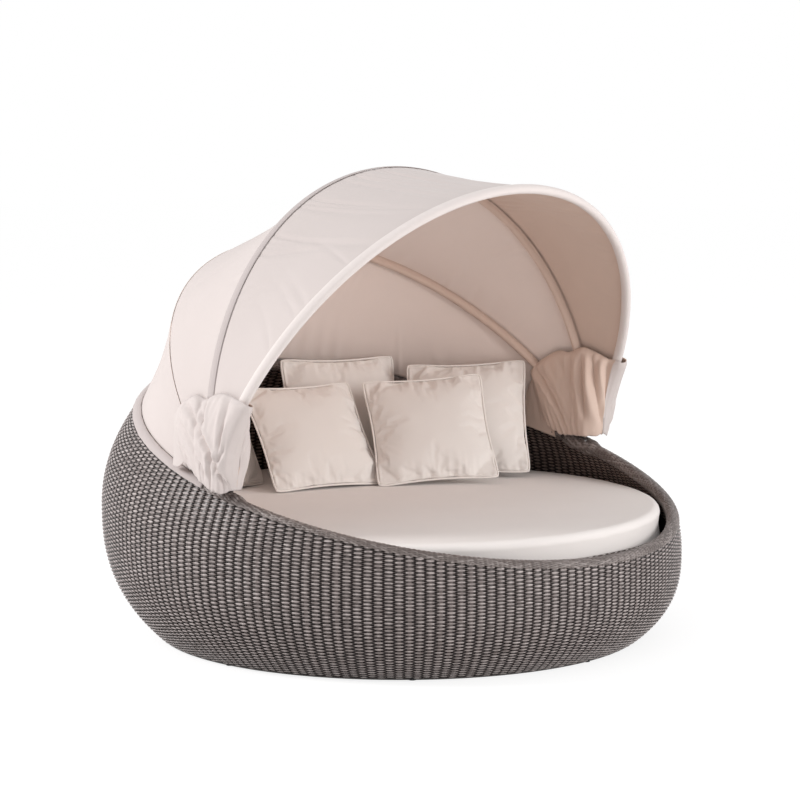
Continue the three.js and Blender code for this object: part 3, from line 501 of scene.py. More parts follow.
# Materials
class Nodes:
    """Short calls for the nodes of a material's or the world's tree."""

    def __init__(self, owner):
        owner.use_nodes = True
        self.tree = owner.node_tree

    def node(self, kind, inputs=None, **settings):
        made = self.tree.nodes.new(kind)
        for key, value in settings.items():
            setattr(made, key, value)
        for key, value in (inputs or {}).items():
            if isinstance(value, bpy.types.NodeSocket):
                self.tree.links.new(value, made.inputs[key])
            else:
                made.inputs[key].default_value = value
        return made

    def math(self, operation, *values):
        return self.node("ShaderNodeMath", dict(enumerate(values)), operation=operation).outputs[0]

    def place(self, kind):
        return self.node("ShaderNodeTexCoord").outputs[kind]

    def seen_directly(self):
        """1 for the camera's own rays and those that metal and glass send on."""
        path = self.node("ShaderNodeLightPath").outputs
        total = self.math("MAXIMUM", path["Is Camera Ray"], path["Is Glossy Ray"])
        return self.math("MAXIMUM", total, path["Is Transmission Ray"])


class Look(Nodes):
    """A material that ends in one principled shader."""

    def __init__(self, name, roughness, **settings):
        self.material = bpy.data.materials.new(name)
        super().__init__(self.material)
        self.shader = self.tree.nodes["Principled BSDF"]
        self.shader.inputs["Roughness"].default_value = roughness
        for key, value in settings.items():
            self.shader.inputs[key.replace("_", " ")].default_value = value

    def noise(self, vector, scale, detail=3.0, rough=0.5):
        inputs = {"Vector": vector, "Scale": scale, "Detail": detail, "Roughness": rough}
        return self.node("ShaderNodeTexNoise", inputs).outputs["Fac"]

    def scaled(self, vector, scale):
        return self.node("ShaderNodeMapping", {"Vector": vector, "Scale": scale}).outputs[0]

    def bands(self, vector, direction, scale, distortion, detail):
        inputs = {"Vector": vector, "Scale": scale, "Distortion": distortion, "Detail": detail}
        return self.node("ShaderNodeTexWave", inputs, bands_direction=direction).outputs["Fac"]

    def weighted(self, *terms):
        """The sum of values times their weights."""
        total, *others = [self.math("MULTIPLY", value, weight) for value, weight in terms]
        for other in others:
            total = self.math("ADD", total, other)
        return total

    def between(self, low, high, share):
        inputs = {"A": (*low, 1), "B": (*high, 1), "Factor": share}
        made = self.node("ShaderNodeMix", inputs, data_type="RGBA")
        return next(s for s in made.outputs if s.type == "RGBA")

    def ramp(self, value, stops):
        made = self.node("ShaderNodeValToRGB", {"Fac": value})
        elements = made.color_ramp.elements
        while len(elements) < len(stops):
            elements.new(0.5)
        for element, (place, colour) in zip(elements, stops):
            element.position = place
            element.color = (*colour, 1)
        return made.outputs["Color"]

    def bump(self, height, distance, strength, **normal):
        inputs = {"Height": height, "Distance": distance, "Strength": strength, **normal}
        return self.node("ShaderNodeBump", inputs).outputs["Normal"]

    def finish(self, **sockets):
        for key, value in sockets.items():
            self.tree.links.new(value, self.shader.inputs[key.replace("_", " ")])
        return self.material


def srgb(r, g, b):
    """Linear colour of an sRGB one given from 0 to 255."""
    shares = (r / 255, g / 255, b / 255)
    return tuple(c / 12.92 if c <= 0.04045 else ((c + 0.055) / 1.055) ** 2.4 for c in shares)


def shade(colour, factor):
    return tuple(c * factor for c in colour)


def fabric(name, colour, pitch, blotch=0.05, depth=thread_depth):
    """Plain woven cloth: crossing threads, soft blotches and fine creases."""
    look = Look(name, 0.9, Sheen_Weight=0.15, Sheen_Roughness=0.5, Specular_IOR_Level=0.25)
    uv = look.place("UV")
    threads = [look.bands(uv, direction, 2 * pi / (20 * pitch), 0.6, 1.0) for direction in ("X", "Y")]
    weave = look.math("MAXIMUM", *threads)
    soft = look.noise(uv, 5.0, 4.0, 0.55)
    slub = look.noise(look.scaled(uv, (40.0, 900.0, 1.0)), 1.0, 2.0)
    tone = look.weighted((soft, 0.6), (slub, 0.2), (weave, 0.2))
    base = look.between(shade(colour, 1 - blotch * 2), shade(colour, 1 + blotch), tone)
    crumple = look.bump(look.noise(uv, 28.0, 5.0, 0.6), crumple_depth, 0.35)
    return look.finish(Base_Color=base, Normal=look.bump(weave, depth, 0.6, Normal=crumple))


def wicker(name, dark, mid, light):
    """Flat resin strand: streaks along its length and a tone for each strand. The tone also carries painted
    highlight on the crowns and painted shade where a strand passes behind a stake or turns, so the light colour
    is partly a painted highlight.
    """
    look = Look(name, 0.36, Specular_IOR_Level=0.5, Coat_Weight=0.12, Coat_Roughness=0.35)
    uv = look.place("UV")
    streak = look.noise(look.scaled(uv, (30.0, 1400.0, 1.0)), 1.0, 3.0, 0.6)
    patch = look.noise(look.scaled(uv, (9.0, 60.0, 1.0)), 1.0, 2.0)
    tone = look.node("ShaderNodeAttribute", attribute_name="tone").outputs["Fac"]
    mixed = look.weighted((tone, 0.62), (streak, 0.26), (patch, 0.12))
    base = look.ramp(mixed, [(0.12, dark), (0.5, mid), (0.88, light)])
    rough = look.math("MULTIPLY_ADD", streak, 0.2, 0.28)
    return look.finish(Base_Color=base, Normal=look.bump(streak, streak_depth, 0.5), Roughness=rough)


def plain(name, colour, roughness, metallic=0.0, scale=60.0, spread=0.12):
    """Painted, moulded or bare surface with a fine mottled grain."""
    look = Look(name, roughness, Metallic=metallic)
    place = look.place("Object")
    grain = look.noise(place, scale, 5.0, 0.6)
    fine = look.noise(place, scale * 9, 3.0, 0.5)
    base = look.between(shade(colour, 1 - spread), shade(colour, 1 + spread), grain)
    rough = look.math("MULTIPLY_ADD", grain, 0.25, roughness - 0.1)
    return look.finish(Base_Color=base, Normal=look.bump(fine, grain_depth, 0.5), Roughness=rough)


def wood(name, colour):
    """Rough sawn softwood: rings drawn out along the boards, and fine pores."""
    look = Look(name, 0.8)
    place = look.place("Object")
    warped = look.noise(look.scaled(place, (1.5, 14.0, 14.0)), 3.0, 4.0, 0.6)
    rings = look.bands(look.scaled(place, (2.0, 40.0, 40.0)), "Y", 1.2, 5.0, 3.0)
    tone = look.weighted((rings, 0.55), (warped, 0.45))
    base = look.ramp(tone, [(0.2, shade(colour, 0.55)), (0.55, colour), (0.9, shade(colour, 1.35))])
    return look.finish(Base_Color=base, Normal=look.bump(tone, board_depth, 0.6))


outer_wicker = wicker("wicker_outer", srgb(28, 21, 19), srgb(110, 98, 95), srgb(222, 211, 209))
# The inside copy of the wicker: its darkest colour is lifted as painted light, for light the inside of the
# basket does not get, and its light colour is a painted highlight on the crowns.
inner_wicker_painted_light = wicker("wicker_inside_painted_light", srgb(46, 35, 32), srgb(98, 82, 75), srgb(186, 168, 159))
rim_wicker = wicker("wicker_rim", srgb(46, 37, 35), srgb(108, 97, 93), srgb(184, 174, 171))
# Near-black layer colour: painted shade for the gaps in the weave and under the plait.
shade_backing = plain("weave_painted_shade", srgb(26, 18, 17), 0.85, spread=0.25)
mattress_cloth = fabric("mattress_cloth", srgb(240, 234, 231), mattress_threads, blotch=0.03)
pillow_cloth = fabric("pillow_cloth", srgb(240, 233, 228), pillow_threads, blotch=0.03)
piping_cloth = fabric("piping_cloth", srgb(247, 240, 235), piping_threads)
canopy_outside = fabric("canopy_outside", srgb(214, 204, 201), canopy_threads, blotch=0.02)
# A lighter copy of the canopy cloth for the front sleeve: painted light on the sleeve, which faces the light.
canopy_band_painted_light = fabric("canopy_band_painted_light", srgb(233, 224, 221), canopy_threads, blotch=0.02)
# A darker copy of the canopy cloth for the middle hoop's seam band and the rear hem: painted shade.
canopy_painted_shade = fabric("canopy_painted_shade", srgb(196, 186, 184), canopy_threads, blotch=0.02)
# The inside copies of the canopy cloth are warmer than the outside: painted light that passes through the cloth
# and bounces inside. The copy for the mid and rear panels is lighter still, painted light.
canopy_inside_painted_light = fabric("canopy_inside_painted_light", srgb(221, 197, 183), canopy_threads, blotch=0.03)
canopy_inside_rear_painted_light = fabric("canopy_inside_rear_painted_light", srgb(245, 229, 221), canopy_threads, blotch=0.03)
canopy_thread = plain("canopy_thread", srgb(206, 192, 184), 0.8, scale=400.0)
tape_cloth = fabric("fastening_tape", srgb(150, 140, 134), tape_threads, depth=tape_thread_depth)
frame_paint = plain("frame_paint", srgb(78, 72, 69), 0.5, metallic=0.3, scale=120.0)
hoop_metal = plain("hoop_metal", srgb(186, 184, 182), 0.4, metallic=0.85, scale=90.0, spread=0.06)
bright_steel = plain("bright_steel", srgb(190, 190, 192), 0.3, metallic=1.0, scale=200.0, spread=0.06)
deck_wood = wood("deck_wood", srgb(150, 116, 84))
glide_rubber = plain("glide_rubber", srgb(42, 42, 42), 0.75, scale=300.0)


# The basket's outline
def rim_top(a):
    return rim_height + rim_lean_height * np.sin(a) - rim_bow_height * np.cos(2 * a)


def outer_radius(a, z):
    lean = np.sin(a)
    belly = belly_radius + belly_lean_radius * lean
    belly_at = belly_height + belly_lean_height * lean
    rim = rim_radius + rim_lean_radius * lean
    below = base_radius + (belly - base_radius) * (1 - np.clip(1 - z / belly_at, 0, 1) ** foot_curve)
    share = np.clip((z - belly_at) / (rim_top(a) - belly_at), 0, 2)
    above = belly - (belly - rim) * share ** shoulder_curve
    return np.where(z < belly_at, below, above)


def wall_slope(a, z):
    """How far the wall's outside goes out and up in a short step along it."""
    step = weave_thickness / 4
    slope = (outer_radius(a, z + step) - outer_radius(a, z - step)) / (2 * step)
    length = np.sqrt(slope ** 2 + 1)
    return slope / length, 1 / length


def wall_point(a, z, depth, rise=0.0):
    """(radius, height) of a point square to the wall's outside."""
    up_r, up_z = wall_slope(a, z)
    return outer_radius(a, z) - up_z * depth + up_r * rise, z + up_r * depth + up_z * rise


def wall_top(a):
    up_r, up_z = wall_slope(a, rim_top(a))
    return rim_top(a) - braid_rise * up_z - wall_depth / 2 * up_r


def round_basket(radius, height, a):
    return np.stack([radius * np.cos(a), radius * np.sin(a), height * np.ones_like(a)], -1)


def on_wall(a, z, depth, rise=0.0):
    return round_basket(*wall_point(a, z, depth, rise), a)


# Weave: rows of flat strands pass in front of one stake and behind the next
def wall_run(a, low, high):
    """Heights and the distances along the wall, for each angle. Near the rim the rows lean with it."""
    z = low + (high - low) * np.linspace(0, 1, 90)[:, None]
    radius = outer_radius(a[None], z)
    steps = np.hypot(np.diff(radius, axis=0), np.diff(z, axis=0))
    run = np.concatenate([np.zeros((1, len(a))), np.cumsum(steps, 0)])
    lift = row_lift * np.tanh(2.2 * np.sin(a))
    return z, run - lift * np.exp(-((run[-1] - run) / row_lift_reach) ** 2)


def woven_band(name, first_stake, last_stake, low, depth, facing, finish, seed):
    """Strands of three lines each, between two stakes. facing is 1 for the outside weave, -1 for the inside."""
    rng = np.random.default_rng(seed)
    stakes = np.arange(first_stake, last_stake)
    columns = np.array([s + f for s in stakes for f, _ in wave_steps] + [last_stake])
    waves = np.array([w * (-1) ** s for s in stakes for _, w in wave_steps] + [(-1.0) ** last_stake])
    a = columns * 2 * pi / stake_count
    z, run = wall_run(a, low, wall_top(a))
    rows = int(run[-1].max() / row_pitch) + 1
    half = strand_half_turned + (strand_half - strand_half_turned) * np.abs(waves)
    runs, offsets = [], []
    for k in range(rows):
        wander = rng.normal(0, strand_wander, len(a))
        for side, crown in ((-1, 0.0), (0, strand_crown), (1, 0.0)):
            runs.append((k + 0.5 + side * half) * row_pitch + wander)
            offsets.append(facing * (waves * (-1) ** k * strand_wave + crown + wander * 0.6))
    runs = np.array(runs)
    heights = np.stack([np.interp(runs[:, c], run[:, c], z[:, c]) for c in range(len(a))], 1)
    points = on_wall(a * np.ones_like(runs), heights, depth - np.array(offsets)).reshape(-1, 3)
    tone = np.repeat(rng.uniform(0.26, 0.56, (rows, len(a))), 3, 0)
    # Painted highlight and shade: lighter where the strand lies in front of a stake, darker where it passes
    # behind one and where it turns between stakes.
    tone += 0.32 * np.repeat([(-1) ** k * waves for k in range(rows)], 3, 0)
    tone -= 0.22 * (1 - np.abs(waves))
    line = np.arange(3 * rows)[:, None]
    along = a * belly_radius + strand_shift * (line // 3)
    uv = np.stack([along, (line // 3 + line % 3 / 2) * row_pitch + 0 * a], -1).reshape(-1, 2)
    quads = grid_faces(3 * rows, len(a)).reshape(3 * rows - 1, len(a) - 1, 4)[..., ::-facing]
    strip = np.array([k for k in range(3 * rows - 1) if k % 3 != 2])
    under_rim = (strip // 3 * row_pitch)[:, None] < run[-1] - strand_least
    faces = quads[strip][under_rim[:, :-1] & under_rim[:, 1:]]
    used, renumbered = np.unique(faces, return_inverse=True)
    faces = renumbered.reshape(faces.shape)
    return make_mesh(name, points[used], [faces], [finish], uv[used], np.clip(tone, 0, 1).reshape(-1)[used])


def stake_band(name, low, depth, facing, finish, seed):
    """The upright stakes, flat strips that run from the foot to the rim."""
    rng = np.random.default_rng(seed)
    a = np.arange(stake_count) * 2 * pi / stake_count
    samples = 34
    share = np.linspace(0, 1, samples)[:, None]
    z = low + (wall_top(a)[None] - low) * share
    strips = []
    for side, crown in ((-1, 0.0), (0, stake_crown), (1, 0.0)):
        at = a[None] + side * stake_width / 2 / outer_radius(a[None], z)
        strips.append(on_wall(at, z, depth - facing * crown))
    points = np.stack(strips, 2).transpose(1, 0, 2, 3)
    quads = grid_faces(samples, 3)[:, ::-facing]
    faces = quads[None] + (samples * 3 * np.arange(stake_count))[:, None, None]
    # Stakes take a low tone, a random one for each, kept darker than the strands as painted shade where they
    # lie behind them.
    tone = np.repeat(rng.uniform(0.05, 0.4, stake_count), samples * 3)
    across = np.tile([0, 0.5, 1], stake_count * samples) * stake_width
    across = across + np.repeat(np.arange(stake_count), samples * 3) * stake_shift
    up = np.tile(np.repeat(share[:, 0], 3), stake_count)
    return make_mesh(name, points, [faces.reshape(-1, 4)], [finish], np.stack([up, across], -1), tone)


def wall_ring(name, section, steps):
    """A closed ring round the basket. section(a) gives the radius and height of its outline's points."""
    a = np.arange(steps) * 2 * pi / steps
    radius, height = section(a)
    points = round_basket(radius, height, a[None] * np.ones_like(radius)).transpose(1, 0, 2)
    faces = grid_faces(steps, len(radius), close_rows=True, close_columns=True)
    uv = np.stack(np.meshgrid(a * rim_radius, np.arange(len(radius)) * backing_line_step, indexing="ij"), -1)
    quads = points.reshape(-1, 3)[faces]
    away = quads.mean(1) - np.repeat(points.mean(1), len(radius), 0)
    if (face_normals(quads) * away).sum() < 0:
        faces = faces[:, ::-1]
    # Every ring wears the near-black colour that paints shade behind the strands.
    return make_mesh(name, points, [faces], [shade_backing], uv)


def backing_section(low, near, far):
    """The outline of a thin layer between two depths."""
    def section(a):
        z = low + (wall_top(a)[None] - low) * np.linspace(0, 1, 26)[:, None]
        front = wall_point(a[None], z, near)
        back = wall_point(a[None], z, far)
        return [np.concatenate([f, b[::-1]]) for f, b in zip(front, back)]
    return section


def braid_point(a, turn, offset=0.0):
    """A point on the rim's half oval. turn 0 is its foot outside, pi its foot inside."""
    half = wall_depth / 2 + braid_overhang + offset
    rise = (braid_rise + offset) * np.sin(turn)
    return on_wall(a, wall_top(a), wall_depth / 2 - half * np.cos(turn), fit_gap + rise)


def rim_core_section(a):
    turn = np.linspace(-rim_core_foot_turn, pi + rim_core_foot_turn, 22)[:, None]
    half = wall_depth / 2 + braid_overhang - rim_core_inset
    rise = (braid_rise - rim_core_inset) * np.sin(turn)
    return wall_point(a[None], wall_top(a)[None], wall_depth / 2 - half * np.cos(turn), fit_gap + rise)


def over_brackets(a):
    """How far the plait rises to pass over the pivot brackets' saddles."""
    place = math.asin(pivot_y / rim_radius)
    right = np.abs((a - place + pi) % (2 * pi) - pi)
    left = np.abs((a + place) % (2 * pi) - pi)
    away = np.minimum(right, left) - bracket_half_turn
    return bracket_cover * np.clip(1 - away / bracket_slope_turn, 0, 1)


def rim_plait(name, seed):
    rng = np.random.default_rng(seed)
    samples = 61
    share = np.linspace(0, 1, samples)
    pitch = 2 * pi / braid_strands
    arc_radius = (wall_depth / 2 + braid_overhang + braid_rise) / 2
    arc_turn = pi + 2 * braid_foot_turn
    run_length = 2 * braid_reach * pitch * rim_radius
    rise_length = arc_turn * arc_radius
    norm = math.hypot(run_length, rise_length)
    crossing = np.cos(pi * (2 * share - 1) * braid_reach * 2)
    points, faces, tones, uv = [], [], [], []
    for family in (1, -1):
        for k in range(braid_strands):
            start = k * pitch + rng.normal(0, braid_wander_turn)
            a = start + family * (share - 0.5) * 2 * braid_reach * pitch
            turn = -braid_foot_turn + arc_turn * share
            lines = []
            for side, crown in ((-1, 0.0), (0, braid_crown), (1, 0.0)):
                width = braid_width / 2 * side
                at = a - width * rise_length / norm / rim_radius
                turned = turn + family * width * run_length / norm / arc_radius
                height = family * crossing * braid_lift - braid_sink + crown + over_brackets(at)
                lines.append(braid_point(at, turned, height))
            faces.append(grid_faces(samples, 3) + samples * 3 * len(points))
            points.append(np.stack(lines, 1).reshape(-1, 3))
            tones.append(np.full(samples * 3, rng.uniform(0.38, 0.78)))
            strip = np.meshgrid(share * norm + braid_shift * k, np.arange(3) * braid_line_step, indexing="ij")
            uv.append(np.stack(strip, -1).reshape(-1, 2))
    points, faces = np.concatenate(points), np.concatenate(faces)
    quads = points[faces]
    angle = np.arctan2(quads[:, :, 1].mean(1), quads[:, :, 0].mean(1))
    away = quads.mean(1) - braid_point(angle, np.full_like(angle, pi / 2), -braid_rise)
    flip = (face_normals(quads) * away).sum(1) < 0
    faces[flip] = faces[flip][:, ::-1]
    return make_mesh(name, points, [faces], [rim_wicker], np.concatenate(uv), np.concatenate(tones))


def make_wall(side, slot, finish, facing, low, seeds, layer):
    """One face of the basket: strands in four parts, stakes and a plain layer behind them, near black as
    painted shade in the gaps.
    """
    strand_depth = strand_inset if facing > 0 else wall_depth - strand_inset
    stake_depth = stake_inset if facing > 0 else wall_depth - stake_inset
    quarter = stake_count // 4
    pieces = []
    for s in range(4):
        pieces.append(woven_band(f"{side}_strands_{s + 1}", s * quarter, (s + 1) * quarter, low, strand_depth,
                                 facing, finish, seeds[0] + s))
    pieces.append(stake_band(f"{side}_stakes", low, stake_depth, facing, finish, seeds[1]))
    pieces.append(wall_ring(f"{side}_backing", backing_section(*layer), 192))
    for piece in pieces:
        dress(piece, "root", slot, f"{side}_weave")


def make_basket():
    outer_layer = (weave_floor_gap, backing_inset, weave_thickness)
    inner_layer = (lining_low, lining_depth, lining_depth + lining_thickness)
    make_wall("outer", "wicker", outer_wicker, 1, weave_floor_gap, (11, 3), outer_layer)
    make_wall("inner", "wicker_inner", inner_wicker_painted_light, -1, inner_weave_low, (31, 4), inner_layer)
    a = np.linspace(0, 2 * pi, 240, endpoint=False)
    path = round_basket(base_radius - foot_border_radius, foot_border_radius + fit_gap, a)
    dress(ring_cord("foot_border", path, foot_border_radius, outer_wicker), "root", "wicker", "outer_weave")
    for piece in (rim_plait("rim_plait", 5), wall_ring("rim_core", rim_core_section, 256)):
        dress(piece, "root", "wicker", "rim_braid")


# Mattress
def mattress_top(run):
    """Height of the crowned top at a distance from its middle."""
    rise = 1 - np.clip(run / (mattress_radius - mattress_edge), 0, 1) ** mattress_crown_curve
    return mattress_low + mattress_thickness + mattress_crown * (0.5 * rise - 0.25)


def mattress_profile():
    """(radius, height) down the side from the crown's middle to the middle of the underside."""
    top = mattress_top(mattress_radius)
    inner = mattress_radius - mattress_edge
    crown_r = np.linspace(0, inner, 30)
    turn = np.linspace(0, pi / 2, 12)[1:]
    upper_z = top - mattress_edge + mattress_edge * np.cos(turn)
    side_z = np.linspace(top - mattress_edge, mattress_low + mattress_edge, 14)[1:-1]
    middle = (mattress_low + top) / 2
    bow = np.clip(1 - ((side_z - middle) / (upper_z[-1] - middle)) ** 2, 0, 1)
    side_r = mattress_radius - mattress_side_bow * bow
    low_turn = np.linspace(0, pi / 2, 9)
    low_z = mattress_low + mattress_edge - mattress_edge * np.sin(low_turn)
    radius = [crown_r, inner + mattress_edge * np.sin(turn), side_r, inner + mattress_edge * np.cos(low_turn),
              np.linspace(inner, 0, 8)[1:]]
    height = [mattress_top(crown_r), upper_z, side_z, low_z, np.full(7, mattress_low)]
    return np.concatenate(radius), np.concatenate(height)


def make_mattress():
    radius, height = mattress_profile()
    steps = 240
    a = np.arange(steps) * 2 * pi / steps
    x = radius[:, None] * np.cos(a)
    y = radius[:, None] * np.sin(a)
    z = height[:, None] * np.ones_like(a)
    edge = np.clip((radius / mattress_radius - 0.72) / 0.28, 0, 1)[:, None] ** 2
    free = np.clip((height - mattress_low - mattress_still) / mattress_free_run, 0, 1)[:, None]
    soft = ripples(x, y, 21, 9, longest=0.55, shortest=0.16) * mattress_ripple * (1 - edge)
    around = ripples(a[None] * mattress_radius, z * 3, 22, 10, longest=0.30, shortest=0.05) * mattress_ripple
    z = z + np.minimum(soft * free, mattress_ripple_most) + around * edge * free * 0.5
    out = 1 - np.abs(around) * edge * free / mattress_radius
    x, y = x * out, y * out
    points = np.stack([x, y + mattress_set_back, z], -1)
    run = distances(np.stack([radius, height], -1))
    uv_side = np.stack([a[None] * mattress_radius + 0 * z, run[:, None] + 0 * z], -1)
    on_side = (radius > mattress_radius - mattress_side_strip)[:, None, None]
    uv = np.where(on_side, uv_side, np.stack([x, y], -1))
    faces = grid_faces(len(radius), steps, close_columns=True)
    piece = make_mesh("mattress_pad", points, [faces], [mattress_cloth], uv)
    dress(piece, "root", "mattress_cloth", "mattress")


# Pillows
def pillow_net():
    """Two square layers that share a border: points of the top and inside the low one, quads, border."""
    n = pillow_cells + 1
    top = np.arange(n * n).reshape(n, n)
    low = top.copy()
    low[1:-1, 1:-1] = n * n + np.arange((n - 2) ** 2).reshape(n - 2, n - 2)
    quads = grid_faces(n, n)
    faces = np.concatenate([top.ravel()[quads], low.ravel()[quads][:, ::-1]])
    border = np.concatenate([top[:-1, 0], top[-1, :-1], top[:0:-1, -1], top[0, :0:-1]])
    return top, low[1:-1, 1:-1], faces, border


def pillow_start(seed):
    """Two nearly flat layers cut to the pillow's size, with a little looseness."""
    top, low, faces, border = pillow_net()
    s, t = np.meshgrid(*[np.linspace(-1, 1, len(top))] * 2, indexing="ij")
    half = pillow_width / 2
    swell = np.sqrt(np.clip((1 - s ** 4) * (1 - t ** 4), 0, 1))
    loose = 1 + 0.06 * ripples(s * half, t * half, seed, 8, longest=0.30, shortest=0.08)
    lift = pillow_start_lift * swell * loose
    rounded = 1 - pillow_corner_trim * np.abs(s * t) ** 7
    across = s * (1 - pillow_edge_bow * (1 - t ** 2) * np.abs(s) ** 3) * half * rounded
    along = t * (1 - pillow_edge_bow * (1 - s ** 2) * np.abs(t) ** 3) * half * rounded
    points = np.zeros((top.size + low.size, 3))
    points[top] = np.stack([across, along, lift], -1)
    points[low] = np.stack([across, along, -lift], -1)[1:-1, 1:-1]
    uv = points[:, :2].copy()
    uv[low] += 0.9
    return points, faces, border, uv


cloth_settings = {
    "vertex_group_mass": "seam", "shrink_min": -pillow_spare_cloth, "quality": 6, "mass": 0.25,
    "tension_stiffness": 40, "compression_stiffness": 25, "shear_stiffness": 12, "bending_stiffness": 0.15,
    "air_damping": 6, "use_pressure": True, "uniform_pressure_force": 5.5,
}


def inflate(points, faces, border):
    """Blows cloth up from inside, held at its seam, and returns where its points come to rest."""
    piece = make_mesh("soft_trial", points, [faces], [pillow_cloth])
    piece.vertex_groups.new(name="seam").add([int(k) for k in border], 1.0, "REPLACE")
    cloth = piece.modifiers.new("Cloth", "CLOTH")
    for key, value in cloth_settings.items():
        setattr(cloth.settings, key, value)
    cloth.settings.effector_weights.gravity = 0
    cloth.point_cache.frame_start = 1
    cloth.point_cache.frame_end = 22
    scene = bpy.context.scene
    for f in range(1, cloth.point_cache.frame_end + 1):
        scene.frame_set(f)
    settled = piece.evaluated_get(bpy.context.evaluated_depsgraph_get())
    moved = np.zeros(len(points) * 3, np.float32)
    settled.data.vertices.foreach_get("co", moved)
    scene.frame_set(1)
    mesh = piece.data
    bpy.data.objects.remove(piece)
    bpy.data.meshes.remove(mesh)
    return moved.reshape(-1, 3).astype(float)


def full_pillow(seed):
    points, faces, border, uv = pillow_start(seed)
    moved = inflate(points, faces, border)
    moved -= (moved.max(0) + moved.min(0)) / 2
    moved *= np.array([pillow_width, pillow_width, pillow_thickness]) / (moved.max(0) - moved.min(0))
    return pucker(moved, border, seed), faces, border, uv


def pucker(points, border, seed):
    """Small gathers square to the seam, which fade within a few centimetres."""
    rng = np.random.default_rng(seed + 90)
    edge = points[border]
    gap = np.linalg.norm(points[:, None, :2] - edge[None, :, :2], axis=2)
    distance = gap.min(1)
    along = distances(edge)[gap.argmin(1)]
    wave = np.zeros(len(points))
    for length in pucker_lengths:
        wave += np.sin(2 * pi * along / length + rng.uniform(0, 2 * pi)) * rng.uniform(0.5, 1.0)
    strength = 0.5 + 0.5 * np.sin(along * rng.uniform(9, 14) + rng.uniform(0, 6))
    fade = np.exp(-distance / pucker_reach) * np.clip(distance / pucker_clear, 0, 1)
    lift = pucker_depth * wave * strength * fade
    return points + np.stack([0 * lift, 0 * lift, lift * np.sign(points[:, 2])], -1)


def make_pillows():
    for k, (name, (across, back, facing, lean, roll)) in enumerate(pillow_places.items()):
        points, faces, border, uv = full_pillow(60 + k)
        turn, lean = math.radians(facing), math.radians(lean)
        away = Vector((-math.cos(turn), -math.sin(turn), 0))
        up = Vector((0, 0, math.cos(lean))) + away * math.sin(lean)
        out = away * -math.cos(lean)
        out.z = math.sin(lean)
        spin = Matrix((up.cross(out), up, out)).transposed() @ Matrix.Rotation(math.radians(roll), 3, "Z")
        place = points @ np.array(spin).T
        place += np.array([across * mattress_radius, mattress_set_back + back * mattress_radius, 0])
        place += np.array(up) * pillow_width / 2
        under = mattress_top(np.hypot(place[:, 0], place[:, 1] - mattress_set_back)) + pillow_stand_off
        place[:, 2] += (under + fit_gap - place[:, 2]).max() + piping_radius * 0.6
        piece = make_mesh(f"{name}_cover", place, [faces], [pillow_cloth], uv)
        smooth = piece.modifiers.new("smooth", "SUBSURF")
        smooth.levels = smooth.render_levels = 1
        edge = place[border]
        loop = edge + unit(edge - place.mean(0)) * piping_radius * 0.5
        normal = np.array(spin) @ np.array([0, 0, 1.0])
        cord = ring_cord(f"{name}_piping", loop, piping_radius, piping_cloth, normal)
        dress(piece, "root", "pillow_cloth", name)
        dress(cord, "root", "pillow_cloth")


# Canopy hoops: each line lies in a plane through the pivot axis
def hoop_line(hoop, shares, offset=0.0, start=canopy_start):
    """Points (x, y) in the hoop's plane and the outward directions, at shares of its length."""
    half = rear_half_width + hoop["steps"] * hoop_side_step + offset
    rise = hoop["rise"] + offset
    skip = math.asin(min(1, max(0, (start - hoop["leg"]) / rise)))
    turn = np.linspace(skip, pi - skip, 3000)
    line = np.stack([half * np.cos(turn), hoop["leg"] + rise * np.sin(turn)], -1)
    run = distances(line)
    at = np.clip(shares, 0, 1) * run[-1]
    tangent = unit(read_line(np.gradient(line, axis=0), run, at))
    return read_line(line, run, at), tangent[:, ::-1] * [1, -1]


def to_frame(degrees, x, y, forwards=0.0):
    """Points at x and at y from the pivot axis, in the plane at so many degrees or forwards of it."""
    turn = np.radians(degrees)
    back = pivot_y - y * np.cos(turn) - forwards * np.sin(turn)
    return np.stack([x, back, pivot_z + y * np.sin(turn) - forwards * np.cos(turn)], -1)


def hoop_edge(name, shares, offset, forwards):
    line, _ = hoop_line(hoops[name], shares, offset)
    return to_frame(hoops[name]["degrees"], line[:, 0], line[:, 1], forwards)


def hoop_band(hoop, outline, seed=0, wobble=0.0):
    """Points of a band along a hoop. outline holds (outwards, forwards) places across it."""
    shares = np.linspace(0, 1, 260)
    line, out = hoop_line(hoop, shares, 0.0, band_start)
    waves = wobble * ripples(shares * hoop_run, 0, seed, 14, longest=0.20, shortest=0.03)
    across = np.asarray(outline, float) + waves[:, None, None] * [1.0, 0.6]
    x, y = (line[:, None] + out[:, None] * across[..., :1]).transpose(2, 0, 1)
    return to_frame(hoop["degrees"], x, y, across[..., 1])


def creases(seed, count, depth, width, near, reach, spread=(0.08, 0.92)):
    """Folds that start at the seam on one side and run across the panel. near is 0 or 1, the side."""
    def field(a, b):
        rng = np.random.default_rng(seed)
        total = 0 * a * b
        for _ in range(count):
            at = rng.uniform(*spread)
            slant = rng.normal(0, 0.012) - 0.20 * (at - 0.5)
            size = depth * rng.uniform(0.4, 1.0)
            wide = width * rng.uniform(0.6, 1.5)
            far = reach * rng.uniform(0.5, 1.3)
            from_seam = np.abs(b - near)
            fade = np.exp(-(from_seam / far) ** 2) * np.clip(from_seam / 0.06, 0, 1)
            line = (a - at - slant * from_seam) / (wide * (0.5 + from_seam))
            total = total + size * fade * (np.exp(-line ** 2) - 0.45 * np.exp(-(line / 2) ** 2))
        return total
    return field


def soft_swell(seed, depth):
    """Shallow hollows over the whole panel, which is five times as long as it is deep."""
    def field(a, b):
        hold = np.sin(pi * b) * np.sin(pi * np.clip(a, 0, 1)) ** 0.5
        return depth * hold * ripples(a, b * 0.2, seed, 10, longest=0.5, shortest=0.08)
    return field


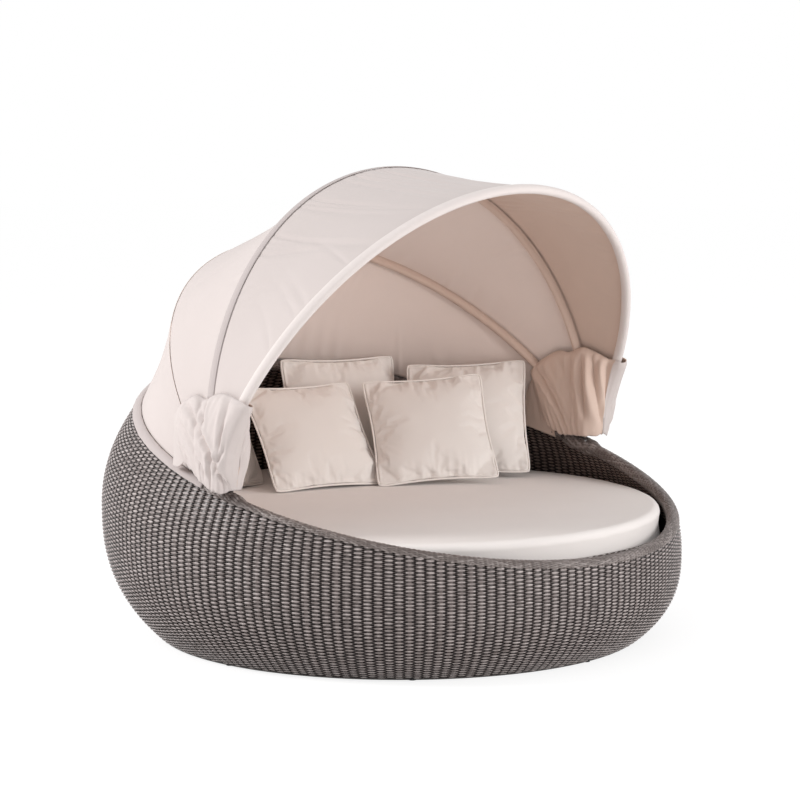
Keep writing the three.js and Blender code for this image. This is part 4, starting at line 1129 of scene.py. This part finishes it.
def panel_grid(edge_a, edge_b, sag, folds):
    """Cloth between two lines of points, which sags towards the middle of the pivot axis."""
    a, b = unit_grid(len(edge_a), panel_rows)
    grid = edge_a[:, None] * (1 - b[..., None]) + edge_b[:, None] * b[..., None]
    depth = sag * np.sin(pi * b) * np.sin(pi * a) + sum(fold(a, b) for fold in folds)
    return grid + unit(pivot - grid) * depth[..., None]


def hem_point(a, run, offset):
    """A point of the hem's path: over the rim's outer shoulder, then down the wall."""
    arc = (wall_depth / 2 + braid_overhang + braid_rise) / 2 + offset
    over = arc * pi / 3
    turn = np.clip(pi / 3 - run / arc, 0, pi / 3)
    on_arc = braid_point(a, turn, offset)
    down = np.maximum(run - over, 0)
    below = on_wall(a, wall_top(a) - down, -braid_overhang - offset, fit_gap)
    return np.where((run > over)[..., None], below, on_arc)


def hem_edge(shares):
    a = pi * shares
    seat = on_wall(a, wall_top(a), 0.0, cloth_gap + cloth_thickness) - on_wall(a, wall_top(a), 0.0)
    return hem_point(a, np.zeros_like(a), hem_offset) + seat


def angle_of(points):
    """Degrees of a point round the pivot axis, 0 at the front and 90 above."""
    return np.degrees(np.arctan2(points[..., 2] - pivot_z, -(points[..., 1] - pivot_y)))


def make_panel(name, edges, sag, folds, held, painted_inside):
    """held is what lies on the two edges' tubes, as shares of the panel's angle."""
    edge_a, edge_b = edges
    grid = panel_grid(edge_a, edge_b, sag, folds)
    outwards = grid - pivot
    piece = shell(f"{name}_cloth", grid, cloth_thickness, [canopy_outside, painted_inside], outwards)
    angle_a, angle_b = angle_of(edge_a)[:, None], angle_of(edge_b)[:, None]
    share = (angle_of(grid) - angle_a) / (angle_b - angle_a)
    share = np.clip((share - held[0]) / (1 - held[0] - held[1]), 0, 1)
    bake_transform(piece)
    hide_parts(name)


def make_panels():
    shares = np.linspace(0, 1, panel_columns)
    on_hoop = cloth_offset
    front_edges = (hoop_edge("front", shares, 0.0, -sleeve_width / 2 - cloth_gap),
                   hoop_edge("mid", shares, on_hoop, cloth_gap))
    mid_edges = (hoop_edge("mid", shares, on_hoop, -cloth_gap), hoop_edge("rear", shares, on_hoop, cloth_gap))
    rear_edges = (hoop_edge("rear", shares, on_hoop + rear_cloth_ride, -cloth_gap), hem_edge(shares))
    front_folds = [creases(201, 34, depth=0.0085, width=0.0065, near=1, reach=0.85, spread=(0.26, 0.80)),
                   creases(204, 30, depth=0.0040, width=0.0045, near=1, reach=0.22, spread=(0.15, 0.90)),
                   creases(202, 22, depth=0.0050, width=0.0080, near=0, reach=0.45),
                   soft_swell(203, depth=0.0036)]
    mid_folds = [creases(211, 16, depth=0.0045, width=0.0100, near=0, reach=0.35),
                 creases(212, 18, depth=0.0040, width=0.0100, near=1, reach=0.35),
                 soft_swell(213, depth=0.0034)]
    rear_folds = [creases(221, 16, depth=0.0040, width=0.0100, near=0, reach=0.30),
                  creases(222, 22, depth=0.0040, width=0.0080, near=1, reach=0.30),
                  soft_swell(223, depth=0.0034)]
    make_panel("front_panel", front_edges, front_sag, front_folds, (0, panel_hold),
               canopy_inside_painted_light)
    make_panel("mid_panel", mid_edges, mid_sag, mid_folds, (panel_hold, panel_hold),
               canopy_inside_rear_painted_light)
    make_panel("rear_panel", rear_edges, rear_sag, rear_folds, (panel_hold, 0),
               canopy_inside_rear_painted_light)


def hoop_shell(name, hoop, outline, thickness, finish, seed=0, wobble=0.0):
    """A sheet along a hoop, with its outside away from the hoop's middle line."""
    band = hoop_band(hoops[hoop], outline, seed, wobble)
    middle = hoop_band(hoops[hoop], np.zeros_like(outline))
    return shell(name, band, thickness, [finish], band - middle)


def make_hoop_cloth():
    turn = np.linspace(sleeve_open_turn - pi / 2, 3 * pi / 2 - sleeve_open_turn, 30)
    depth, half = pocket_depth - sleeve_inset, sleeve_width / 2 - sleeve_inset
    oval = np.stack([depth * np.cos(turn), half * np.sin(turn)], -1)
    piece = hoop_shell("front_sleeve_cloth", "front", oval, cloth_thickness, canopy_band_painted_light, 301, sleeve_wobble)
    stretched(piece, "front_hoop", sleeve_flat, ["front_hoop"], "front_sleeve")
    turn = np.linspace(0, pi, 19)
    arc = np.stack([pocket_centre - pocket_half_depth * np.sin(turn), pocket_half_width * np.cos(turn)], -1)
    outline = np.concatenate([pocket_flange, arc, (pocket_flange * [1, -1])[::-1]])
    for name, seed in (("mid", 311), ("rear", 321)):
        piece = hoop_shell(f"{name}_pocket_cloth", name, outline, pocket_thickness, canopy_inside_painted_light, seed,
                           pocket_wobble)
        stretched(piece, f"{name}_hoop", pocket_flat, [f"{name}_hoop"], f"{name}_pocket")


def make_seam_band():
    """The strip that covers the middle hoop's seam outside."""
    share = np.linspace(0, 1, 9)
    rise = cloth_offset + cloth_thickness + cloth_gap + seam_band_crown * np.sin(pi * share)
    outline = np.stack([rise, seam_band_front - seam_band_width * share], -1)
    # The band wears the darker copy of the canopy cloth, painted shade along the seam.
    piece = hoop_shell("mid_seam_band", "mid", outline, cloth_thickness, canopy_painted_shade)
    stretched(piece, "mid_hoop", seam_band_flat, ["mid_hoop"])


def hem_strip(low, high, rows, offset):
    a, run = np.meshgrid(np.linspace(0, pi, 360), np.linspace(low, high, rows), indexing="ij")
    grid = hem_point(a, run, offset)
    return a, run, grid, unit(grid * [1, 1, 0])


def make_hem():
    a, run, grid, out = hem_strip(0, hem_height, 14, hem_offset)
    soft = hem_ripple * ripples(a * rim_radius, run * 2, 401, 12, longest=0.16, shortest=0.03)
    # The hem wears the darker copy of the canopy cloth, painted shade.
    hem = shell("rear_hem_cloth", grid + out * np.abs(soft)[..., None], cloth_thickness, [canopy_painted_shade], out)
    stretched(hem, "root", hem_flat, ["rim_plait"], "rear_hem_band")
    inset = (hem_height - tape_height) / 2
    _, _, grid, out = hem_strip(inset, inset + tape_height, 8, tape_gap + tape_thickness / 2)
    tape = shell("fastening_tape_strip", grid, tape_thickness, [tape_cloth], out)
    stretched(tape, "root", tape_flat, ["rim_plait"], "hem_tape", slot="tape")
    for k, at in ((1, stitch_inset), (2, hem_height - stitch_inset)):
        path = hem_point(a[:, 0], np.full(len(a), at), hem_offset + cloth_thickness / 2)
        dress(stitches(f"hem_stitches_{k}", path, path * [1, 1, 0], canopy_thread), "root", "canopy_cloth")


# Skirts
def skirt_degrees(a):
    first = hoops["front"]["degrees"] - skirt_lead_degrees
    last = hoops["rear"]["degrees"] + skirt_lead_degrees
    return first + (last - first) * a


def skirt_top_x(degrees, offset):
    """How far out the hoops' legs are at the skirts' height, read between the hoops."""
    places = [hoop_line(h, np.zeros(1), offset, skirt_radius)[0][0, 0] for h in hoops.values()]
    return np.interp(degrees, [h["degrees"] for h in hoops.values()], places)


def crease_depth(a, b, lines):
    """Sharp valleys with soft shoulders, from 0 to about 1."""
    total = 0 * a * b
    for a0, b0, a1, b1, width, depth in lines:
        t = np.clip((b - b0) / (b1 - b0), 0, 1)
        away = np.abs(a - (a0 + (a1 - a0) * t)) / width
        fade = np.clip((b - b0 + 0.07) / 0.12, 0, 1) * np.clip((b1 + 0.10 - b) / 0.14, 0, 1)
        total = total + depth * fade * (np.exp(-away * 1.3) - 0.35 * np.exp(-((away - 2.2) / 0.9) ** 2))
    return total


def smooth_step(value, low, high):
    t = np.clip((value - low) / (high - low), 0, 1)
    return t * t * (3 - 2 * t)


def skirt_line(points, a, column):
    """Reads one column of a short list of (share round, value, value...) points, joined by a smooth curve."""
    table = np.array(points)
    fine = np.linspace(0, 1, 201)
    values = np.interp(fine, table[:, 0], table[:, column])
    weights = np.hanning(21)
    values = np.convolve(np.pad(values, 10, mode="edge"), weights / weights.sum(), mode="valid")
    return np.interp(a, fine, values)


def skirt_edges(a, inside):
    """The pouch's angles, top and foot. inside is 0 for its layer outside the hoops and 1 for the inner one."""
    def mixed(outer, inner):
        return outer * (1 - inside) + inner * inside

    def read(outer, inner, column):
        return mixed(skirt_line(outer, a, column), skirt_line(inner, a, column))

    degrees = skirt_degrees(a) - skirt_front_degrees * np.sin(pi * inside) ** 0.7
    top_x = mixed(skirt_top_x(degrees, cloth_offset + skirt_seat),
                  skirt_top_x(degrees, -pocket_depth - skirt_seat - fit_gap))
    top = to_frame(degrees, top_x, read(outer_top, inner_top, 1))
    close = np.exp(-(a / 0.16) ** 2)
    foot_x = mixed(outer_skirt_x - skirt_rear_draw * smooth_step(a, 0.50, 1.0),
                   inner_skirt_x + (inner_front_x - inner_skirt_x) * close)
    foot_y, foot_z = (read(outer_foot, inner_foot, column) for column in (1, 2))
    return degrees, top, np.stack([foot_x, foot_y, foot_z], -1)


def skirt_height(a, inside, b, seed):
    """How far the pouch stands off its plain surface: bays, less their creases, with puckers and gathers."""
    outer_bays = np.abs(np.sin(pi * np.clip(a / 0.60, 0, 1))) + np.sin(pi * np.clip((a - 0.60) / 0.40, 0, 1))
    lobes = np.where(inside < 0.5, outer_bays, np.abs(np.sin(2 * pi * a)))
    bays = lobes ** 0.5 * np.sin(pi * b ** 0.8) ** 0.7
    puff = skirt_puff * (0.30 + 0.80 * bays)
    sunk = np.where(inside < 0.5, crease_depth(a, b, outer_creases), crease_depth(a, b, inner_creases))
    pucker_size = skirt_pucker_seam * np.exp(-b / 0.10) + skirt_pucker
    puckers = ripples(a * 0.9, 0.12 * b, seed, 8, longest=0.12, shortest=0.03) * pucker_size
    gather_size = skirt_gather * np.clip((b - 0.55) / 0.45, 0, 1)
    gathers = ripples(a * 0.9 + 0.05 * b, 0.05 * b, seed + 3, 8, longest=0.16, shortest=0.05) * gather_size
    return np.maximum(puff * (1 - sunk) + puckers + gathers, 0) * np.clip(b / 0.05, 0, 1)


def skirt_grid(side, seed):
    """The pouch from the outside's rear edge round the front to the inside's: shares round it, 0 at the front
    hoop and 1 at the rear one, layers, 0 outside and 1 inside, then angles, points and the way out."""
    a = np.concatenate([np.linspace(1, 0, skirt_side_columns), np.zeros(skirt_front_columns),
                        np.linspace(0, 1, skirt_side_columns)])
    inside = np.concatenate([np.zeros(skirt_side_columns), np.linspace(0, 1, skirt_front_columns + 2)[1:-1],
                             np.ones(skirt_side_columns)])
    degrees, top, foot = skirt_edges(a, inside)
    a, b = np.meshgrid(a, np.linspace(0, 1, skirt_rows), indexing="ij")
    inside = inside[:, None] * np.ones_like(b)
    share = b[..., None]
    grid = top[:, None] * (1 - share) + foot[:, None] * share
    grid[..., 0] = foot[:, None, 0] + (top[:, None, 0] - foot[:, None, 0]) * (1 - b) ** 3
    near_front = np.exp(-(a / 0.13) ** 2)
    grid[..., 1] += skirt_waist * near_front * np.sin(pi * b)
    drawn = skirt_foot_draw * near_front * smooth_step(b, 0.72, 1.0)
    grid[..., 0] += (skirt_front_foot_x - grid[..., 0]) * drawn
    away = grid_normals(grid)
    away *= np.sign((away[..., 0] * (0.5 - inside)).mean())
    grid = grid + away * skirt_height(a, inside, b, seed)[..., None]
    frill = ripples(a, 0 * b, seed + 7, 7, longest=0.22, shortest=0.05)
    grid[..., 2] += skirt_frill * np.clip((b - 0.75) / 0.25, 0, 1) * frill
    return a, inside, degrees, grid * [side, 1, 1], away * [side, 1, 1]


def skirt_piece(name, grid, away, nodes, wears_inside):
    piece = shell(name, grid, cloth_thickness, [canopy_outside, canopy_inside_painted_light], away, wears_inside)
    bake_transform(piece)
    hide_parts(*nodes)
    return piece


def skirt_tail(side, name):
    """The inside layer's tail behind the rear hoop, which ends on top of the rim."""
    g, b = unit_grid(44, 34)
    first = skirt_degrees(1.0) - tail_overlap_degrees
    degrees = first + tail_degrees * g
    top_x = skirt_top_x(degrees[:, 0], -pocket_depth - skirt_seat - fit_gap)
    top = to_frame(degrees[:, 0], top_x, skirt_radius * (1 - 0.04 * g[:, 0]))
    foot_start, foot_run = tail_foot_degrees
    foot = braid_point(np.radians(foot_start + foot_run * g[:, 0]), 0.93 * pi, tail_foot_gap)
    grid = top[:, None] * (1 - b[..., None]) + foot[:, None] * b[..., None]
    soft = ripples(g * tail_size, b * tail_size, 611, 8, longest=0.14, shortest=0.04)
    lift = tail_ripple * soft * np.sin(pi * b) ** 0.5
    valley = np.clip(tail_valley * crease_depth(g, b, tail_creases), tail_valley_back, tail_valley)
    grid[..., 0] += tail_bow * np.sin(pi * b) - np.abs(lift) + valley
    grid[..., 0] *= side
    high = hoops["rear"]["degrees"]
    share = np.clip((degrees - high) / (first + tail_degrees - high), 0, 1)
    share = np.maximum(share, b * np.clip((degrees - high) / tail_spread_degrees, 0, 1))
    inwards = np.ones_like(grid) * [-side, 0, 0]
    piece = skirt_piece(f"skirt_{name}_inner_tail", grid, inwards,
                        [f"skirt_{name}_inner"], np.ones(len(grid), bool))


def skirt_gore(side, name, edge):
    """The outside layer's last fold, from its rear edge (a line of points, top first) back over the hem."""
    g, b = unit_grid(24, len(edge))
    far_top = edge[0] + np.array([side * gore_top_step[0], gore_top_step[1], 0])
    far_foot = np.array(gore_foot) * [side, 1, 1]
    far = far_top * (1 - b[0][:, None]) + far_foot * b[0][:, None]
    grid = edge[None] * (1 - g[..., None]) + far[None] * g[..., None]
    soft = ripples(g * gore_size[0], b * gore_size[1], 631, 8, longest=0.12, shortest=0.04)
    grid[..., 0] += side * (gore_fold * np.sin(pi * g) * np.sin(pi * b) + gore_ripple * soft * b * g)
    grid[..., 2] -= gore_dip * np.sin(pi * g) * b ** 2
    outwards = np.ones_like(grid) * [side, 0, 0]
    piece = skirt_piece(f"skirt_{name}_outer_gore", grid, outwards,
                        [f"skirt_{name}_outer"], np.zeros(len(grid), bool))


def make_skirts():
    low, middle, high = (hoops[k]["degrees"] for k in ("front", "mid", "rear"))
    for name, side, seed in (("left", -1, 501), ("right", 1, 541)):
        a, inside, degrees, grid, away = skirt_grid(side, seed)
        cuts = np.where(np.diff(np.sign(skirt_degrees(a[:, 0]) - middle)) != 0)[0]
        first, second = cuts[0], cuts[-1] + 1
        front_share = np.clip((middle - degrees) / (middle - low), 0, 1)[:, None]
        rear_share = np.clip((degrees - middle) / (high - middle), 0, 1)[:, None]
        parts = [("outer", slice(0, first + 1), "rear_hoop", rear_share, ["outer"]),
                 ("front", slice(first, second + 1), "front_hoop", front_share, ["outer", "inner"]),
                 ("inner", slice(second, None), "rear_hoop", rear_share, ["inner"])]
        for part, span, body, share, layers in parts:
            nodes = [f"skirt_{name}_{layer}" for layer in layers]
            wears_inside = (inside[span, 0] > 0.5) & (a[span, 0] > skirt_wrap[name])
            piece = skirt_piece(f"skirt_{name}_{part}_cloth", grid[span], away[span],
                                nodes, wears_inside)
        skirt_tail(side, name)
        skirt_gore(side, name, grid[0])


# CAD nodes that stay: the starts of their names, then their finish and slot
kept_nodes = [
    (("base_ring", "seat_ring", "rim_tube", "centre_foot", "frame_rib"), frame_paint, "frame"),
    (("deck_grid",), deck_wood, "deck_wood"),
    (("foot_glide",), glide_rubber, "rubber"),
    (("front_hoop", "mid_hoop", "rear_hoop"), hoop_metal, "hoop"),
    (("pivot_bracket",), frame_paint, "hardware"),
    (("pivot_bolt", "pivot_nut", "bracket"), bright_steel, "hardware"),
]


def dress_frame():
    for name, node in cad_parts.items():
        for starts, finish, slot in kept_nodes:
            if name.startswith(starts) and not node.hide_render:
                node.data.materials.clear()
                node.data.materials.append(finish)


# Floor, light and background
def make_stage():
    """A pale floor that looks white, except under the basket, where it stays in shade."""
    corners = [(x * floor_reach, y * floor_reach, 0) for x, y in ((-1, -1), (1, -1), (1, 1), (-1, 1))]
    material = bpy.data.materials.new("floor")
    nodes = Nodes(material)
    nodes.tree.nodes.clear()
    reach = nodes.node("ShaderNodeVectorMath", {0: nodes.place("Object")}, operation="LENGTH")
    outside = nodes.math("GREATER_THAN", reach.outputs["Value"], base_radius - glow_inset)
    seen = nodes.math("MULTIPLY", nodes.seen_directly(), outside)
    grey = nodes.node("ShaderNodeBsdfDiffuse", {"Color": floor_grey}).outputs[0]
    glow = nodes.node("ShaderNodeEmission", {"Strength": floor_glow}).outputs[0]
    bright = nodes.node("ShaderNodeAddShader", {0: grey, 1: glow}).outputs[0]
    pale = nodes.node("ShaderNodeBsdfDiffuse", {"Color": floor_pale}).outputs[0]
    mix = nodes.node("ShaderNodeMixShader", {0: seen, 1: pale, 2: bright}).outputs[0]
    nodes.node("ShaderNodeOutputMaterial", {0: mix})
    make_mesh("floor", corners, [[[0, 1, 2, 3]]], [material])


def make_world():
    world = bpy.data.worlds.new("world")
    bpy.context.scene.world = world
    nodes = Nodes(world)
    back = nodes.tree.nodes["Background"]
    back.inputs["Color"].default_value = (1, 1, 1, 1)
    strength = nodes.math("MULTIPLY_ADD", nodes.seen_directly(), 1 - world_strength, world_strength)
    nodes.tree.links.new(strength, back.inputs["Strength"])


def make_lamps():
    for name, (azimuth, elevation, distance, size, power, colour) in lamps.items():
        data = bpy.data.lights.new(name, "AREA")
        data.shape = "DISK"
        data.size = size
        data.energy = power
        data.color = colour
        light = bpy.data.objects.new(name, data)
        a, e = math.radians(azimuth), math.radians(elevation)
        way = Vector((math.sin(a) * math.cos(e), -math.cos(a) * math.cos(e), math.sin(e)))
        light.location = way * distance + light_target
        light.rotation_euler = (-way).to_track_quat("-Z", "Y").to_euler()
        bpy.context.collection.objects.link(light)


make_basket()
make_mattress()
make_pillows()
make_panels()
make_hoop_cloth()
make_seam_band()
make_hem()
make_skirts()
dress_frame()
make_stage()
make_world()
make_lamps()
